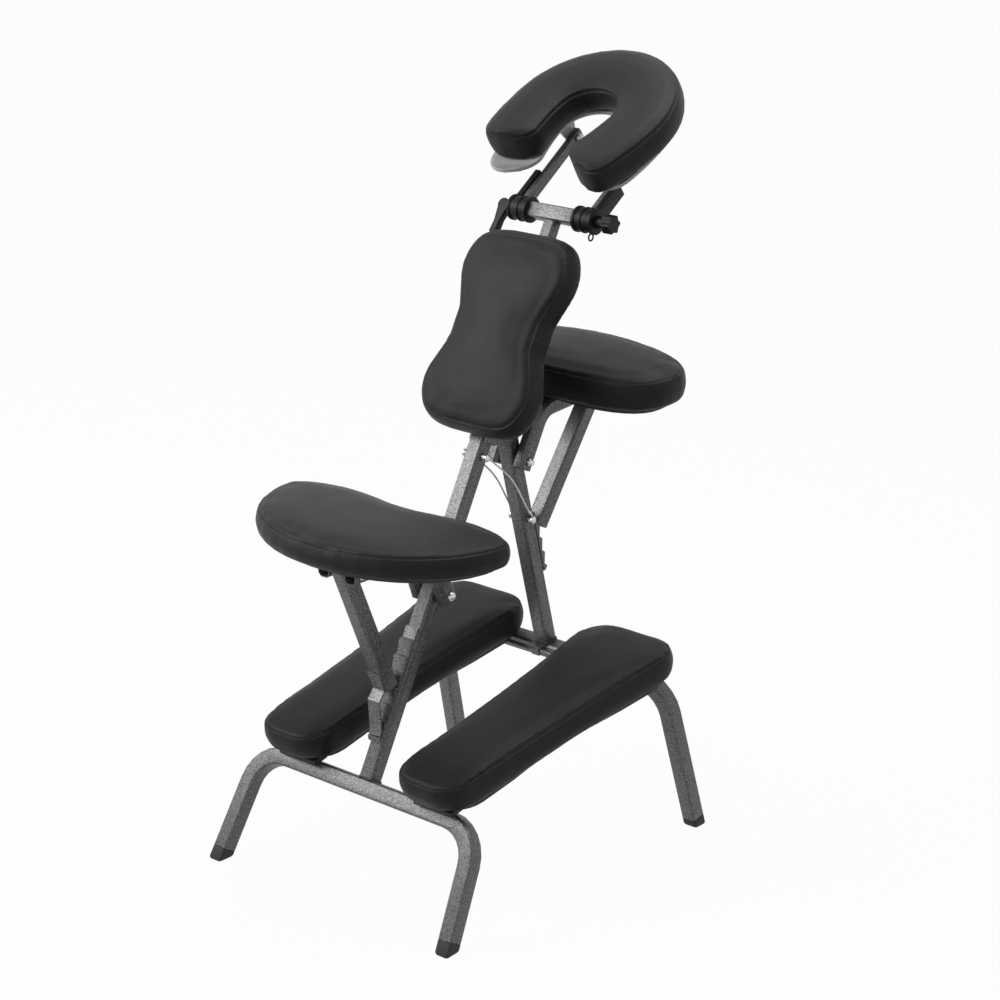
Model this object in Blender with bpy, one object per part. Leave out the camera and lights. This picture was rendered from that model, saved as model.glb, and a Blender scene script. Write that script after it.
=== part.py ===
"""Kneeling massage chair: a folding X frame of square tube with padded rests.

Metres, +Z up, +Y the way the sitter faces, +X the sitter's right.
"""
import math

import bmesh
import bpy
from mathutils import Vector

# Space left between two pieces that touch, and round a pin in its hole.
GAP = 0.0003
PIN_GAP = 0.0003

# Depth to which a welded piece runs into the one that carries it.
WELD = 0.0005

# Frame tube and the lean of the two frames.
TUBE = 0.028
WALL = 0.0015
TUBE_CORNER = 0.003
BEND_RADIUS = 0.062
SPINE_LEAN = math.radians(28.372)
POST_LEAN = math.radians(14.757)
REAR_FOOT_Y = -0.36646

# Leg bows: half the space between the feet, inward lean, height of the bar.
REAR_FOOT_HALF = 0.250
REAR_SPLAY = 0.0827
REAR_BAR = 0.192
FRONT_FOOT_HALF = 0.268
FRONT_SPLAY = 0.0629
FRONT_BAR = 0.2844
LEG_START = 0.018

# Rubber tips plugged into the feet.
TIP_PLUG = 0.026
TIP_ROUND = 0.004

# Spine, post and the hinge that joins them.
SPINE_TOP = 1.060
PIVOT_S = 0.808
PIVOT_N = 0.053
POST_ABOVE_PIVOT = 0.024
CHEEK = 0.003
CHEEK_LENGTH = 0.066
CHEEK_NOSE = 0.016
MAIN_BOLT = 0.005

# Stay cables.
SPINE_CABLE_S = 0.752
POST_CABLE_BELOW = 0.165
CABLE_X = 0.0190
CABLE = 0.003
CABLE_BOLT = 0.0035
CABLE_BOW = 0.012

# Saw racks: base, tooth depth, pitch.
RACK_WIDTH = 0.026
RACK_BASE = 0.005
TOOTH = 0.0057
PITCH = 0.0268
SEAT_LEDGE = 0.2785
SEAT_TEETH = 7
ARM_TEETH = 4

# Bearers: the pairs of tubes that carry the seat and the armrest.
BEARER_WIDTH = 0.024
BEARER_DEPTH = 0.030
BEARER_WALL = 0.002
BEARER_CORNER = 0.006
BEARER_BEND = 0.045
BEARER_END = 0.014
WASHER = 0.0012
PIVOT_BOLT = 0.004

# Boards under the cushions and the upholstery.
BOARD = 0.008
BOARD_INSET = 0.028

# Seat.
SEAT_PIVOT_S = 0.524
SEAT_LEG_LEAN = math.radians(19.5)
SEAT_LEG_RISE = 0.092
SEAT_RUN = 0.184
SEAT_HALF = 0.236
SEAT_BAND = 0.038
SEAT_BACK = 0.193
SEAT_FRONT = 0.054
SEAT_DIP = 0.018
SEAT_WIDEST_Y = 0.159
SEAT_CROWN = 0.013
STRUT_HEAD = 0.0075
STRUT_ABOVE_LEDGE = 0.0785
SEAT_STRUT_STANDOFF = 0.0335

# Armrest.
ARM_PIVOT_BELOW = 0.0496
ARM_LEG_RISE = 0.0785
ARM_TILT = math.radians(4.0)
ARM_RUN = 0.198
ARM_HALF = 0.234
ARM_SHIFT = 0.014
ARM_BACK = 0.097
ARM_FRONT = 0.109
ARM_WIDEST_Y = 0.570
ARM_BAND = 0.050
ARM_CROWN = 0.010
ARM_STRUT_LEAN = math.radians(35.4)
ARM_STRUT_CLEAR = 0.0009

# Chest rest.
CHEST_LENGTH = 0.325
CHEST_S = 0.948
CHEST_SHIFT = 0.006
CHEST_TOP_HALF = 0.111
CHEST_WAIST_HALF = 0.083
CHEST_LOW_HALF = 0.115
CHEST_BAND = 0.040
CHEST_FLARE = 0.012
CHEST_CROWN = 0.012
SLEEVE = 0.052
SLEEVE_WALL = 0.003

# Knee rests.
PAD_SLOPE = math.radians(11.8)
PAD_REAR = -0.474
PAD_FRONT = 0.057
PAD_REAR_IN = 0.080
PAD_REAR_OUT = 0.215
PAD_FRONT_IN = 0.065
PAD_FRONT_OUT = 0.259
PAD_CORNER = 0.052
PAD_BAND = 0.044
PAD_CROWN = 0.010
PAD_SHIFT = 0.008
PAD_SKEW = math.radians(1.9)
ROD = 0.0045
ROD_HALF = 0.212
ROD_BEHIND = 0.0245
ROD_ABOVE = 0.0078
EYE = 0.0085
STRAP = 0.003
STRAP_LENGTH = 0.062
STRAP_WIDTH = 0.076
STRAP_MARGIN = 0.028
BUFFER_WIDTH = 0.080
BUFFER_DEPTH = 0.030
HOLDER = 0.016
STRAP_X = ROD_HALF - STRAP_WIDTH / 2.0 - STRAP_MARGIN

# Head post, cradle and face rest.
INNER_POST = 0.0215
BAR_TUBE = 0.025
BAR_S = 1.163
BAR_HALF = 0.047
POST_OVERLAP = 0.150
COLLAR_HEIGHT = 0.026
COLLAR_STEM = 0.045
AXLE = BAR_TUBE / 2.0 - WALL - 2.0 * GAP
AXLE_LEFT = 0.0945
AXLE_RIGHT = 0.1045
DRUM = 0.0195
DRUM_IN = BAR_HALF + GAP
DRUM_OUT = 0.0880
ARM_X = 0.071
ARM_WIDTH = 0.012
ARM_DEPTH = 0.020
ARM_LENGTH = 0.1687
ARM_RISE = math.radians(35.1)
CLAMP_REACH = 0.076
CLAMP_DEPTH = 0.024
CRADLE_BOLT = 0.004
LUG = 0.006
LUG_HALF = 0.024
LUG_NOSE = 0.011
FACE_TILT = math.radians(31.0)
FACE_ABOVE = 0.041
FACE_AHEAD = -0.031
FACE_HALF = 0.106
FACE_FAR = 0.098
FACE_NEAR = 0.112
FACE_LOBE = 0.078
FACE_WIDTH = 0.056
FACE_SHIFT = 0.013
FACE_TURN = math.radians(-11.0)
FACE_BAND = 0.046
FACE_CROWN = 0.016
PLATFORM = 0.008

# Small hand parts.
KNOB = 0.016
KNOB_LENGTH = 0.018
STUD = 0.004
CAM = 0.011
CAM_WIDTH = 0.014
CAM_LENGTH = 0.052

X_AXIS = Vector((1.0, 0.0, 0.0))
SPINE_UP = Vector((0.0, math.sin(SPINE_LEAN), math.cos(SPINE_LEAN)))
SPINE_OUT = Vector((0.0, math.cos(SPINE_LEAN), -math.sin(SPINE_LEAN)))
POST_UP = Vector((0.0, -math.sin(POST_LEAN), math.cos(POST_LEAN)))
POST_OUT = Vector((0.0, math.cos(POST_LEAN), math.sin(POST_LEAN)))
HALF = TUBE / 2.0
BEARER_X = HALF + WASHER + 2.0 * GAP + BEARER_WIDTH / 2.0
SIDES = ((-1, "left"), (1, "right"))


def on_spine(s, n=0.0, x=0.0):
    """A point s up the spine from the rear foot line, n in front of its axis."""
    return Vector((x, REAR_FOOT_Y, 0.0)) + SPINE_UP * s + SPINE_OUT * n


MAIN_PIVOT = on_spine(PIVOT_S, PIVOT_N)
POST_PIVOT_T = MAIN_PIVOT.z / math.cos(POST_LEAN)
FRONT_FOOT = MAIN_PIVOT - POST_UP * POST_PIVOT_T


def on_post(t, n=0.0, x=0.0):
    """A point t up the post from the front foot line, n in front of its axis."""
    return FRONT_FOOT + X_AXIS * x + POST_UP * t + POST_OUT * n


for old in list(bpy.data.objects):
    bpy.data.objects.remove(old, do_unlink=True)
scene = bpy.context.scene


def material(name, colour, roughness, metallic):
    made = bpy.data.materials.new(name)
    made.use_nodes = True
    shader = made.node_tree.nodes["Principled BSDF"]
    shader.inputs["Base Color"].default_value = (*colour, 1.0)
    shader.inputs["Roughness"].default_value = roughness
    shader.inputs["Metallic"].default_value = metallic
    return made


COAT = ("hammertone_coat", (0.42, 0.43, 0.44), 0.42, 0.55)
VINYL = ("black_vinyl", (0.018, 0.018, 0.020), 0.45, 0.0)
RUBBER = ("black_rubber", (0.02, 0.02, 0.02), 0.75, 0.0)
PLASTIC = ("black_plastic", (0.025, 0.025, 0.027), 0.5, 0.0)
GREY_PLASTIC = ("grey_plastic", (0.30, 0.31, 0.32), 0.4, 0.0)
ZINC = ("zinc_steel", (0.62, 0.62, 0.60), 0.32, 1.0)
PLYWOOD = ("plywood", (0.45, 0.33, 0.20), 0.7, 0.0)
ROPE = ("wire_rope", (0.45, 0.45, 0.46), 0.4, 1.0)


def body(name, place):
    pivot = bpy.data.objects.new(name, None)
    pivot.location = place
    scene.collection.objects.link(pivot)
    return pivot


def add(name, bm, look, on):
    """Turn a bmesh in world coordinates into a named piece that rides on a body."""
    bmesh.ops.remove_doubles(bm, verts=bm.verts, dist=1e-6)
    bmesh.ops.recalc_face_normals(bm, faces=bm.faces)
    bmesh.ops.translate(bm, verts=bm.verts, vec=-on.location)
    mesh = bpy.data.meshes.new(name)
    bm.to_mesh(mesh)
    bm.free()
    mesh.materials.append(material(name + "_" + look[0], *look[1:]))
    piece = bpy.data.objects.new(name, mesh)
    scene.collection.objects.link(piece)
    piece.parent = on
    return piece


def square_axes(axis):
    """Two directions at right angles to an axis."""
    first = axis.cross(X_AXIS)
    if first.length < 0.1:
        first = axis.cross(SPINE_UP)
    first.normalize()
    return first, axis.cross(first).normalized()


def loft(bm, rings, capped=True):
    """Join rings of equal length with quads; close the ends or the loop."""
    loops = [[bm.verts.new(point) for point in ring] for ring in rings]
    count = len(loops[0])
    pairs = list(zip(loops, loops[1:]))
    if not capped:
        pairs.append((loops[-1], loops[0]))
    for low, high in pairs:
        for i in range(count):
            j = (i + 1) % count
            bm.faces.new((low[i], low[j], high[j], high[i]))
    if capped:
        bm.faces.new(loops[0])
        bm.faces.new(loops[-1])
    return bm


def lathe(bm, profile, centre, axis, steps=14):
    """Turn (height, radius) points about an axis into a closed solid."""
    first, second = square_axes(axis)
    rings = []
    for height, radius in profile:
        ring = []
        for i in range(steps):
            turn = 2.0 * math.pi * i / steps
            ring.append(centre + axis * height
                        + (first * math.cos(turn) + second * math.sin(turn)) * radius)
        rings.append(ring)
    return loft(bm, rings)


def prism(bm, outline, origin, along, across, depth):
    """Push a flat outline through a depth vector."""
    near = [origin + along * u + across * v for u, v in outline]
    return loft(bm, [near, [point + depth for point in near]])


def box(bm, centre, axes, size):
    """A block from its centre, three directions and three sizes."""
    u, v, w = (axis * (length / 2.0) for axis, length in zip(axes, size))
    ring = [centre - u - v, centre + u - v, centre + u + v, centre - u + v]
    return loft(bm, [[p - w for p in ring], [p + w for p in ring]])


def rounded(width, depth, corner, steps=2):
    """Outline of a rectangle with rounded corners, about its centre."""
    points = []
    for k in range(4):
        sign_u = 1 if k in (0, 3) else -1
        sign_v = 1 if k in (0, 1) else -1
        for i in range(steps):
            turn = math.pi / 2.0 * (k + i / (steps - 1))
            points.append((sign_u * (width / 2.0 - corner) + corner * math.cos(turn),
                           sign_v * (depth / 2.0 - corner) + corner * math.sin(turn)))
    return points


def fillet(points, radius, steps=6, closed=False):
    """Round the corners of a flat run of points."""
    count = len(points)
    path = []
    for i, point in enumerate(points):
        if not closed and i in (0, count - 1):
            path.append(point)
            continue
        back = (points[i - 1] - point).normalized()
        ahead = (points[(i + 1) % count] - point).normalized()
        half = back.angle(ahead) / 2.0
        reach = radius / math.tan(half)
        middle = point + (back + ahead).normalized() * (radius / math.sin(half))
        start = point + back * reach - middle
        end = point + ahead * reach - middle
        sweep = start.angle(end)
        for k in range(steps + 1):
            share = k / steps
            path.append(middle + (start * math.sin((1.0 - share) * sweep)
                                  + end * math.sin(share * sweep)) / math.sin(sweep))
    return path


def swept(path, side, outline):
    """Rings of a section carried along a flat path; its first axis lies on side."""
    rings = []
    for i, point in enumerate(path):
        before = (point - path[max(i - 1, 0)])
        after = (path[min(i + 1, len(path) - 1)] - point)
        before = (before if before.length else after).normalized()
        after = (after if after.length else before).normalized()
        normal = side.cross((before + after).normalized()).normalized()
        stretch = 1.0 / math.cos(before.angle(after) / 2.0)
        rings.append([point + side * u + normal * (v * stretch) for u, v in outline])
    return rings


def tube(bm, path, side, width, depth, wall, corner):
    """A hollow rectangular tube, open at both ends, along a flat path."""
    outer = swept(path, side, rounded(width, depth, corner))
    inner = swept(path, side, rounded(width - 2.0 * wall, depth - 2.0 * wall,
                                      max(corner - wall, 0.001)))
    return loft(bm, outer + inner[::-1], capped=False)


def shape(piece, bm, operation):
    """Join a second solid to a piece, or cut it away."""
    bmesh.ops.recalc_face_normals(bm, faces=bm.faces)
    mesh = bpy.data.meshes.new("tool_" + piece.name)
    bm.to_mesh(mesh)
    bm.free()
    tool = bpy.data.objects.new("tool_" + piece.name, mesh)
    tool.hide_render = True
    tool.display_type = "WIRE"
    scene.collection.objects.link(tool)
    step = piece.modifiers.new("shape", "BOOLEAN")
    step.operation = operation
    step.solver = "EXACT"
    step.object = tool
    return tool


def bore(piece, centre, axis, radius, reach):
    """Drill a round hole through a piece."""
    shape(piece, lathe(bmesh.new(), [(-reach, radius), (reach, radius)], centre, axis), "DIFFERENCE")


def through_bolt(bm, centre, radius, grip, head=0.0065):
    """A dome-headed bolt along X whose heads bear at the two ends of its grip."""
    half = grip / 2.0 + GAP
    right = [(half, radius), (half, head), (half + head * 0.45, head),
             (half + head * 0.95, head * 0.6), (half + head * 1.1, head * 0.15)]
    left = [(-h, r) for h, r in right[::-1]]
    return lathe(bm, left + right, centre, X_AXIS)


def pillow(outline, place, band, crown, flare=0.0):
    """An upholstered pad: drawn-in foot, full sides, seam groove and crowned top."""
    middle = sum(outline, Vector((0.0, 0.0))) / len(outline)
    levels = [(0.012, 0.0), (0.004, band * 0.12), (-0.001, band * 0.5),
              (0.0005, band * 0.88), (0.0028, band), (0.0016, band + crown * 0.16)]
    rings = []
    for inset, height in levels:
        inset -= flare * max(0.0, 1.0 - height / band)
        ring = []
        for point in outline:
            out = point - middle
            ring.append(place(middle + out * (1.0 - inset / out.length), height))
        rings.append(ring)
    for share in (0.88, 0.62, 0.30):
        height = band + crown * (0.16 + 0.84 * (1.0 - share ** 2.4))
        rings.append([place(middle + (point - middle) * share, height) for point in outline])
    return loft(bmesh.new(), rings)


def panel(outline, place, inset, thickness):
    """A board cut to an outline, drawn in all round."""
    middle = sum(outline, Vector((0.0, 0.0))) / len(outline)
    edge = [middle + (p - middle) * (1.0 - inset / (p - middle).length) for p in outline]
    return loft(bmesh.new(), [[place(p, 0.0) for p in edge], [place(p, thickness) for p in edge]])


def bean(half, back, front, blunt_back, blunt_front, dip, steps=40):
    """A cushion outline, wider than deep, with its own curve behind and in front."""
    points = []
    for i in range(steps):
        turn = 2.0 * math.pi * (i + 0.5) / steps
        cos, sin = math.cos(turn), math.sin(turn)
        power = 2.0 / (blunt_front if sin > 0 else blunt_back)
        x = half * math.copysign(abs(cos) ** power, cos)
        y = (front if sin > 0 else back) * math.copysign(abs(sin) ** power, sin)
        if sin > 0:
            y -= dip * math.exp(-(x / (half * 0.42)) ** 2)
        points.append(Vector((x, y)))
    return points


# Rear frame: the bow, its boots, the spine and what is fixed to them.
rear_frame = body("rear_frame", on_spine(0.0))


def bow_path(place, half, splay, bar):
    ends = half - splay * LEG_START
    top = half - splay * bar
    corners = [place(LEG_START, 0.0, -ends), place(bar, 0.0, -top),
               place(bar, 0.0, top), place(LEG_START, 0.0, ends)]
    return fillet(corners, BEND_RADIUS)


def foot_tip(place, half, splay, bar, face, side):
    """A rubber tip plugged into the end of a leg, cut level with the floor."""
    low = place(LEG_START, 0.0, side * (half - splay * LEG_START))
    up = (place(bar, 0.0, side * (half - splay * bar)) - low).normalized()
    across = face.cross(up).normalized()
    plug = TUBE - 2.0 * (WALL + GAP)
    rings = []
    for size, height in ((TUBE - TIP_ROUND, None), (TUBE, None), (TUBE, -GAP), (plug, -GAP),
                         (plug, TIP_PLUG)):
        ring = []
        for u, v in rounded(size, size, TUBE_CORNER):
            point = low + face * u + across * v
            floor = -point.z / up.z + (TIP_ROUND if size == TUBE else 0.0)
            ring.append(point + up * (floor if height is None else height))
        rings.append(ring)
    return loft(bmesh.new(), rings)


bow = tube(bmesh.new(), bow_path(on_spine, REAR_FOOT_HALF, REAR_SPLAY, REAR_BAR), SPINE_OUT,
           TUBE, TUBE, WALL, TUBE_CORNER)
add("rear_leg_bow", bow, COAT, rear_frame)
for hand, word in SIDES:
    cap = foot_tip(on_spine, REAR_FOOT_HALF, REAR_SPLAY, REAR_BAR, SPINE_OUT, hand)
    add("rear_foot_" + word, cap, RUBBER, rear_frame)

spine_foot = REAR_BAR + HALF + GAP
spine = add("spine_tube", tube(bmesh.new(), [on_spine(spine_foot), on_spine(SPINE_TOP)], X_AXIS,
                               TUBE, TUBE, WALL, TUBE_CORNER), COAT, rear_frame)

rack_root = HALF + GAP + RACK_BASE
rack_tip = rack_root + TOOTH


def saw_rack(bm, place, out, first, teeth, drop):
    """A toothed bar on a tube face: each ledge runs out and down by drop to its tip."""
    top = first + (teeth - 1) * PITCH + 0.020
    bottom = first - 0.012
    edge = [(bottom, HALF + GAP), (bottom, rack_root)]
    for k in range(teeth):
        ledge = first + k * PITCH
        edge.append((ledge - drop, rack_tip))
        edge.append((ledge, rack_root))
    edge += [(top, rack_root), (top, HALF + GAP)]
    near = [place(s, out * n, -RACK_WIDTH / 2.0) for s, n in edge]
    return loft(bm, [near, [p + X_AXIS * RACK_WIDTH for p in near]])


for hand, word in SIDES:
    low, high = -CHEEK_LENGTH / 2.0, CHEEK_LENGTH / 2.0
    edge = [(low, -HALF * 0.7), (high, -HALF * 0.7), (high, HALF)]
    for k in range(9):
        turn = math.radians(62.0 - 15.5 * k)
        edge.append((CHEEK_NOSE * math.sin(turn), PIVOT_N + CHEEK_NOSE * math.cos(turn)))
    edge.append((low, HALF))
    start = on_spine(PIVOT_S, 0.0, hand * (HALF + GAP))
    cheek = prism(bmesh.new(), edge, start, SPINE_UP, SPINE_OUT, X_AXIS * (hand * CHEEK))
    bore(shape(spine, cheek, "UNION"), MAIN_PIVOT, X_AXIS, MAIN_BOLT + PIN_GAP, TUBE)
    bead = on_spine(PIVOT_S, 0.0, hand * (HALF + GAP / 2.0))
    shape(spine, box(bmesh.new(), bead, (X_AXIS, SPINE_UP, SPINE_OUT),
                     (GAP + 2.0 * WELD, CHEEK_LENGTH * 0.9, HALF)), "UNION")
main_grip = TUBE + 2.0 * (CHEEK + GAP)
add("main_hinge_bolt", through_bolt(bmesh.new(), MAIN_PIVOT, MAIN_BOLT, main_grip, 0.0085),
    ZINC, rear_frame)


def cable_bolt(bm, centre):
    """A bolt through a tube with a grooved end on each side for a cable eye."""
    inside = HALF + GAP
    groove = CABLE_X - CABLE / 2.0 - GAP
    rim = CABLE_X + CABLE / 2.0 + GAP
    right = [(inside, CABLE_BOLT), (inside, 0.006), (groove, 0.006), (groove, CABLE_BOLT),
             (rim, CABLE_BOLT), (rim, 0.0065), (rim + 0.004, 0.0065), (rim + 0.0065, 0.003)]
    left = [(-h, r) for h, r in right[::-1]]
    return lathe(bm, left + right, centre, X_AXIS)


spine_eye = on_spine(SPINE_CABLE_S)
add("spine_cable_bolt", cable_bolt(bmesh.new(), spine_eye), ZINC, rear_frame)
bore(spine, spine_eye, X_AXIS, CABLE_BOLT + PIN_GAP, TUBE)

collar_mid = SPINE_TOP + GAP + COLLAR_HEIGHT / 2.0
collar_bore = INNER_POST + 2.0 * GAP
collar_size = TUBE
stem_size = TUBE - 2.0 * (WALL + GAP)
collar_rings = []
for height, size in ((SPINE_TOP - COLLAR_STEM, stem_size), (SPINE_TOP + GAP, stem_size),
                     (SPINE_TOP + GAP, collar_size), (SPINE_TOP + GAP + COLLAR_HEIGHT, collar_size),
                     (SPINE_TOP + GAP + COLLAR_HEIGHT, collar_bore), (SPINE_TOP - COLLAR_STEM, collar_bore)):
    collar_rings.append([on_spine(height, v, u) for u, v in rounded(size, size, 0.002)])
collar = add("spine_collar", loft(bmesh.new(), collar_rings, capped=False), PLASTIC, rear_frame)


def hand_knob(bm, face, axis, stud):
    """A fluted knob that stands on a face, with its stud running in behind it."""
    profile = [(-stud, STUD), (GAP, STUD), (GAP, KNOB * 0.55), (0.005, KNOB * 0.6),
               (0.007, KNOB), (KNOB_LENGTH * 0.85, KNOB), (KNOB_LENGTH, KNOB * 0.8)]
    first, second = square_axes(axis)
    rings = []
    for height, radius in profile:
        ring = []
        for i in range(24):
            turn = 2.0 * math.pi * i / 24
            flute = 1.0 if radius < KNOB * 0.7 else 1.0 - 0.10 * (i % 4 == 0)
            ring.append(face + axis * height
                        + (first * math.cos(turn) + second * math.sin(turn)) * (radius * flute))
        rings.append(ring)
    return loft(bm, rings)


collar_face = on_spine(collar_mid, collar_size / 2.0)
collar_wall = (collar_size - collar_bore) / 2.0
collar_knob = body("collar_knob_pivot", collar_face)
add("collar_knob", hand_knob(bmesh.new(), collar_face, SPINE_OUT, collar_wall), PLASTIC, collar_knob)
bore(collar, collar_face, SPINE_OUT, STUD + PIN_GAP, collar_wall * 1.5)

# Front frame: the bow, its boots, the post and the rack for the armrest strut.
front_frame = body("front_frame", MAIN_PIVOT)
bow = tube(bmesh.new(), bow_path(on_post, FRONT_FOOT_HALF, FRONT_SPLAY, FRONT_BAR), POST_OUT,
           TUBE, TUBE, WALL, TUBE_CORNER)
front_bow = add("front_leg_bow", bow, COAT, front_frame)
for hand, word in SIDES:
    cap = foot_tip(on_post, FRONT_FOOT_HALF, FRONT_SPLAY, FRONT_BAR, POST_OUT, hand)
    add("front_foot_" + word, cap, RUBBER, front_frame)
post_top = POST_PIVOT_T + POST_ABOVE_PIVOT
post = add("front_post", tube(bmesh.new(), [on_post(FRONT_BAR + HALF + GAP), on_post(post_top)],
                              X_AXIS, TUBE, TUBE, WALL, TUBE_CORNER), COAT, front_frame)
bore(post, MAIN_PIVOT, X_AXIS, MAIN_BOLT + PIN_GAP, TUBE)
post_eye = on_post(POST_PIVOT_T - POST_CABLE_BELOW)
add("post_cable_bolt", cable_bolt(bmesh.new(), post_eye), ZINC, front_frame)
bore(post, post_eye, X_AXIS, CABLE_BOLT + PIN_GAP, TUBE)

# Knee rests: two boards hinged on a rod behind the front bar.
rod_centre = on_post(FRONT_BAR + ROD_ABOVE, -ROD_BEHIND)
rod = [(-ROD_HALF, ROD), (ROD_HALF, ROD)]
add("knee_hinge_rod", lathe(bmesh.new(), rod, rod_centre, X_AXIS, 16), ZINC, front_frame)
holder_depth = ROD_BEHIND + ROD + 0.0015 - HALF + WELD
for x in (-ROD_HALF + HOLDER, 0.0, ROD_HALF - HOLDER):
    middle = on_post(FRONT_BAR + ROD_ABOVE, WELD - HALF - holder_depth / 2.0, x)
    holder = box(bmesh.new(), middle, (X_AXIS, POST_UP, POST_OUT),
                 (HOLDER, 2.0 * ROD + 0.003, holder_depth))
    bore(shape(front_bow, holder, "UNION"), rod_centre, X_AXIS, ROD + PIN_GAP, ROD_HALF + HOLDER)

PAD_ALONG = Vector((0.0, math.cos(PAD_SLOPE), math.sin(PAD_SLOPE)))
PAD_UP = Vector((0.0, -math.sin(PAD_SLOPE), math.cos(PAD_SLOPE)))
pad_under = EYE + GAP


def on_pad(point, height):
    """A point of a knee pad: x, distance ahead of the rod, height over the board's underside.

    Both pads sit a little askew on their hinges, turned to the sitter's right.
    """
    skew = PAD_SHIFT + math.tan(PAD_SKEW) * (point.y - PAD_REAR)
    return rod_centre + X_AXIS * (point.x + skew) + PAD_ALONG * point.y + PAD_UP * (pad_under + height)


def on_pad_cushion(point, height):
    return on_pad(point, BOARD + GAP + height)


bar_corners = [on_spine(REAR_BAR, v, 0.0) + SPINE_UP * u for u, v in rounded(TUBE, TUBE, TUBE_CORNER)]
bar_crest = max(bar_corners, key=PAD_UP.dot)
crest_ahead = (bar_crest - rod_centre).dot(PAD_ALONG)
crest_below = pad_under - (bar_crest - rod_centre).dot(PAD_UP)
for hand, word in SIDES:
    pad = body("knee_pad_" + word, rod_centre)
    corners = [Vector((hand * PAD_REAR_IN, PAD_REAR)), Vector((hand * PAD_REAR_OUT, PAD_REAR)),
               Vector((hand * PAD_FRONT_OUT, PAD_FRONT)), Vector((hand * PAD_FRONT_IN, PAD_FRONT))]
    edge = fillet(corners, PAD_CORNER, 6, closed=True)
    outline = []
    for p, q in zip(edge, edge[1:] + edge[:1]):
        outline.append(p)
        if (q - p).length > 0.1:
            outline += [p.lerp(q, k / 6.0) for k in range(1, 6)]
    add("knee_cushion_" + word, pillow(outline, on_pad_cushion, PAD_BAND, PAD_CROWN), VINYL, pad)
    add("knee_board_" + word, panel(outline, on_pad, BOARD_INSET, BOARD), PLYWOOD, pad)
    edge = [(-STRAP_LENGTH, EYE), (-STRAP_LENGTH, EYE - STRAP), (-EYE * 0.75, EYE - STRAP)]
    for k in range(13):
        turn = math.radians(152.0 + 21.5 * k)
        edge.append((EYE * math.cos(turn), EYE * math.sin(turn)))
    start = rod_centre + X_AXIS * (hand * STRAP_X - STRAP_WIDTH / 2.0)
    leaf = prism(bmesh.new(), edge, start, PAD_ALONG, PAD_UP, X_AXIS * STRAP_WIDTH)
    leaf = add("knee_hinge_" + word, leaf, ZINC, pad)
    bore(leaf, rod_centre, X_AXIS, ROD + PIN_GAP, ROD_HALF + HOLDER)
    spread = (PAD_REAR_IN + PAD_REAR_OUT) / 2.0
    rise = crest_below - 2.0 * GAP
    middle = on_pad(Vector((hand * spread, crest_ahead)), -GAP - rise / 2.0)
    stop = box(bmesh.new(), middle, (X_AXIS, PAD_ALONG, PAD_UP), (BUFFER_WIDTH, BUFFER_DEPTH, rise))
    add("knee_buffer_" + word, stop, RUBBER, pad)

# Seat: two bent bearers on the spine, board and cushion, propped by a strut.
seat_pivot = on_spine(SEAT_PIVOT_S)
seat = body("seat", seat_pivot)
seat_leg = Vector((0.0, -math.sin(SEAT_LEG_LEAN), math.cos(SEAT_LEG_LEAN)))
REARWARD = Vector((0.0, -1.0, 0.0))
seat_bend = seat_pivot + seat_leg * (SEAT_LEG_RISE / math.cos(SEAT_LEG_LEAN))


def bearer(points, hand):
    """A bent rectangular tube beside the frame."""
    run = [point + X_AXIS * (hand * BEARER_X) for point in fillet(points, BEARER_BEND)]
    return tube(bmesh.new(), run, X_AXIS, BEARER_WIDTH, BEARER_DEPTH, BEARER_WALL, BEARER_CORNER)


def pivot_bolt(centre):
    """The bolt through a pair of bearers, with the spacers that hold them off the tube."""
    inside = HALF + GAP
    spacer = inside + WASHER
    end = BEARER_X + BEARER_WIDTH / 2.0 + GAP
    right = [(inside, PIVOT_BOLT), (inside, 0.010), (spacer, 0.010), (spacer, PIVOT_BOLT),
             (end, PIVOT_BOLT), (end, 0.0075), (end + 0.0035, 0.0075), (end + 0.0070, 0.0045),
             (end + 0.0082, 0.0012)]
    left = [(-h, r) for h, r in right[::-1]]
    return lathe(bmesh.new(), left + right, centre, X_AXIS)


seat_run = [seat_pivot - seat_leg * BEARER_END, seat_bend, seat_bend + REARWARD * SEAT_RUN]
seat_pin = seat_run[2] - REARWARD * BEARER_END
for hand, word in SIDES:
    piece = add("seat_bearer_" + word, bearer(seat_run, hand), COAT, seat)
    bore(piece, seat_pivot, X_AXIS, PIVOT_BOLT + PIN_GAP, BEARER_X + BEARER_WIDTH)
    bore(piece, seat_pin, X_AXIS, PIVOT_BOLT + PIN_GAP, BEARER_X + BEARER_WIDTH)
bore(spine, seat_pivot, X_AXIS, PIVOT_BOLT + PIN_GAP, TUBE)
add("seat_pivot_bolt", pivot_bolt(seat_pivot), ZINC, seat)
add("seat_strut_bolt", pivot_bolt(seat_pin), ZINC, seat)

seat_under = seat_bend.z + BEARER_DEPTH / 2.0 + GAP
SEAT_OUTLINE = bean(SEAT_HALF, SEAT_BACK, SEAT_FRONT, 2.0, 2.4, SEAT_DIP)


def on_seat(point, height):
    return Vector((point.x, REAR_FOOT_Y + SEAT_WIDEST_Y + point.y, seat_under + height))


def on_seat_cushion(point, height):
    return on_seat(point, BOARD + GAP + height)


add("seat_board", panel(SEAT_OUTLINE, on_seat, BOARD_INSET, BOARD), PLYWOOD, seat)
add("seat_cushion", pillow(SEAT_OUTLINE, on_seat_cushion, SEAT_BAND, SEAT_CROWN), VINYL, seat)

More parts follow.
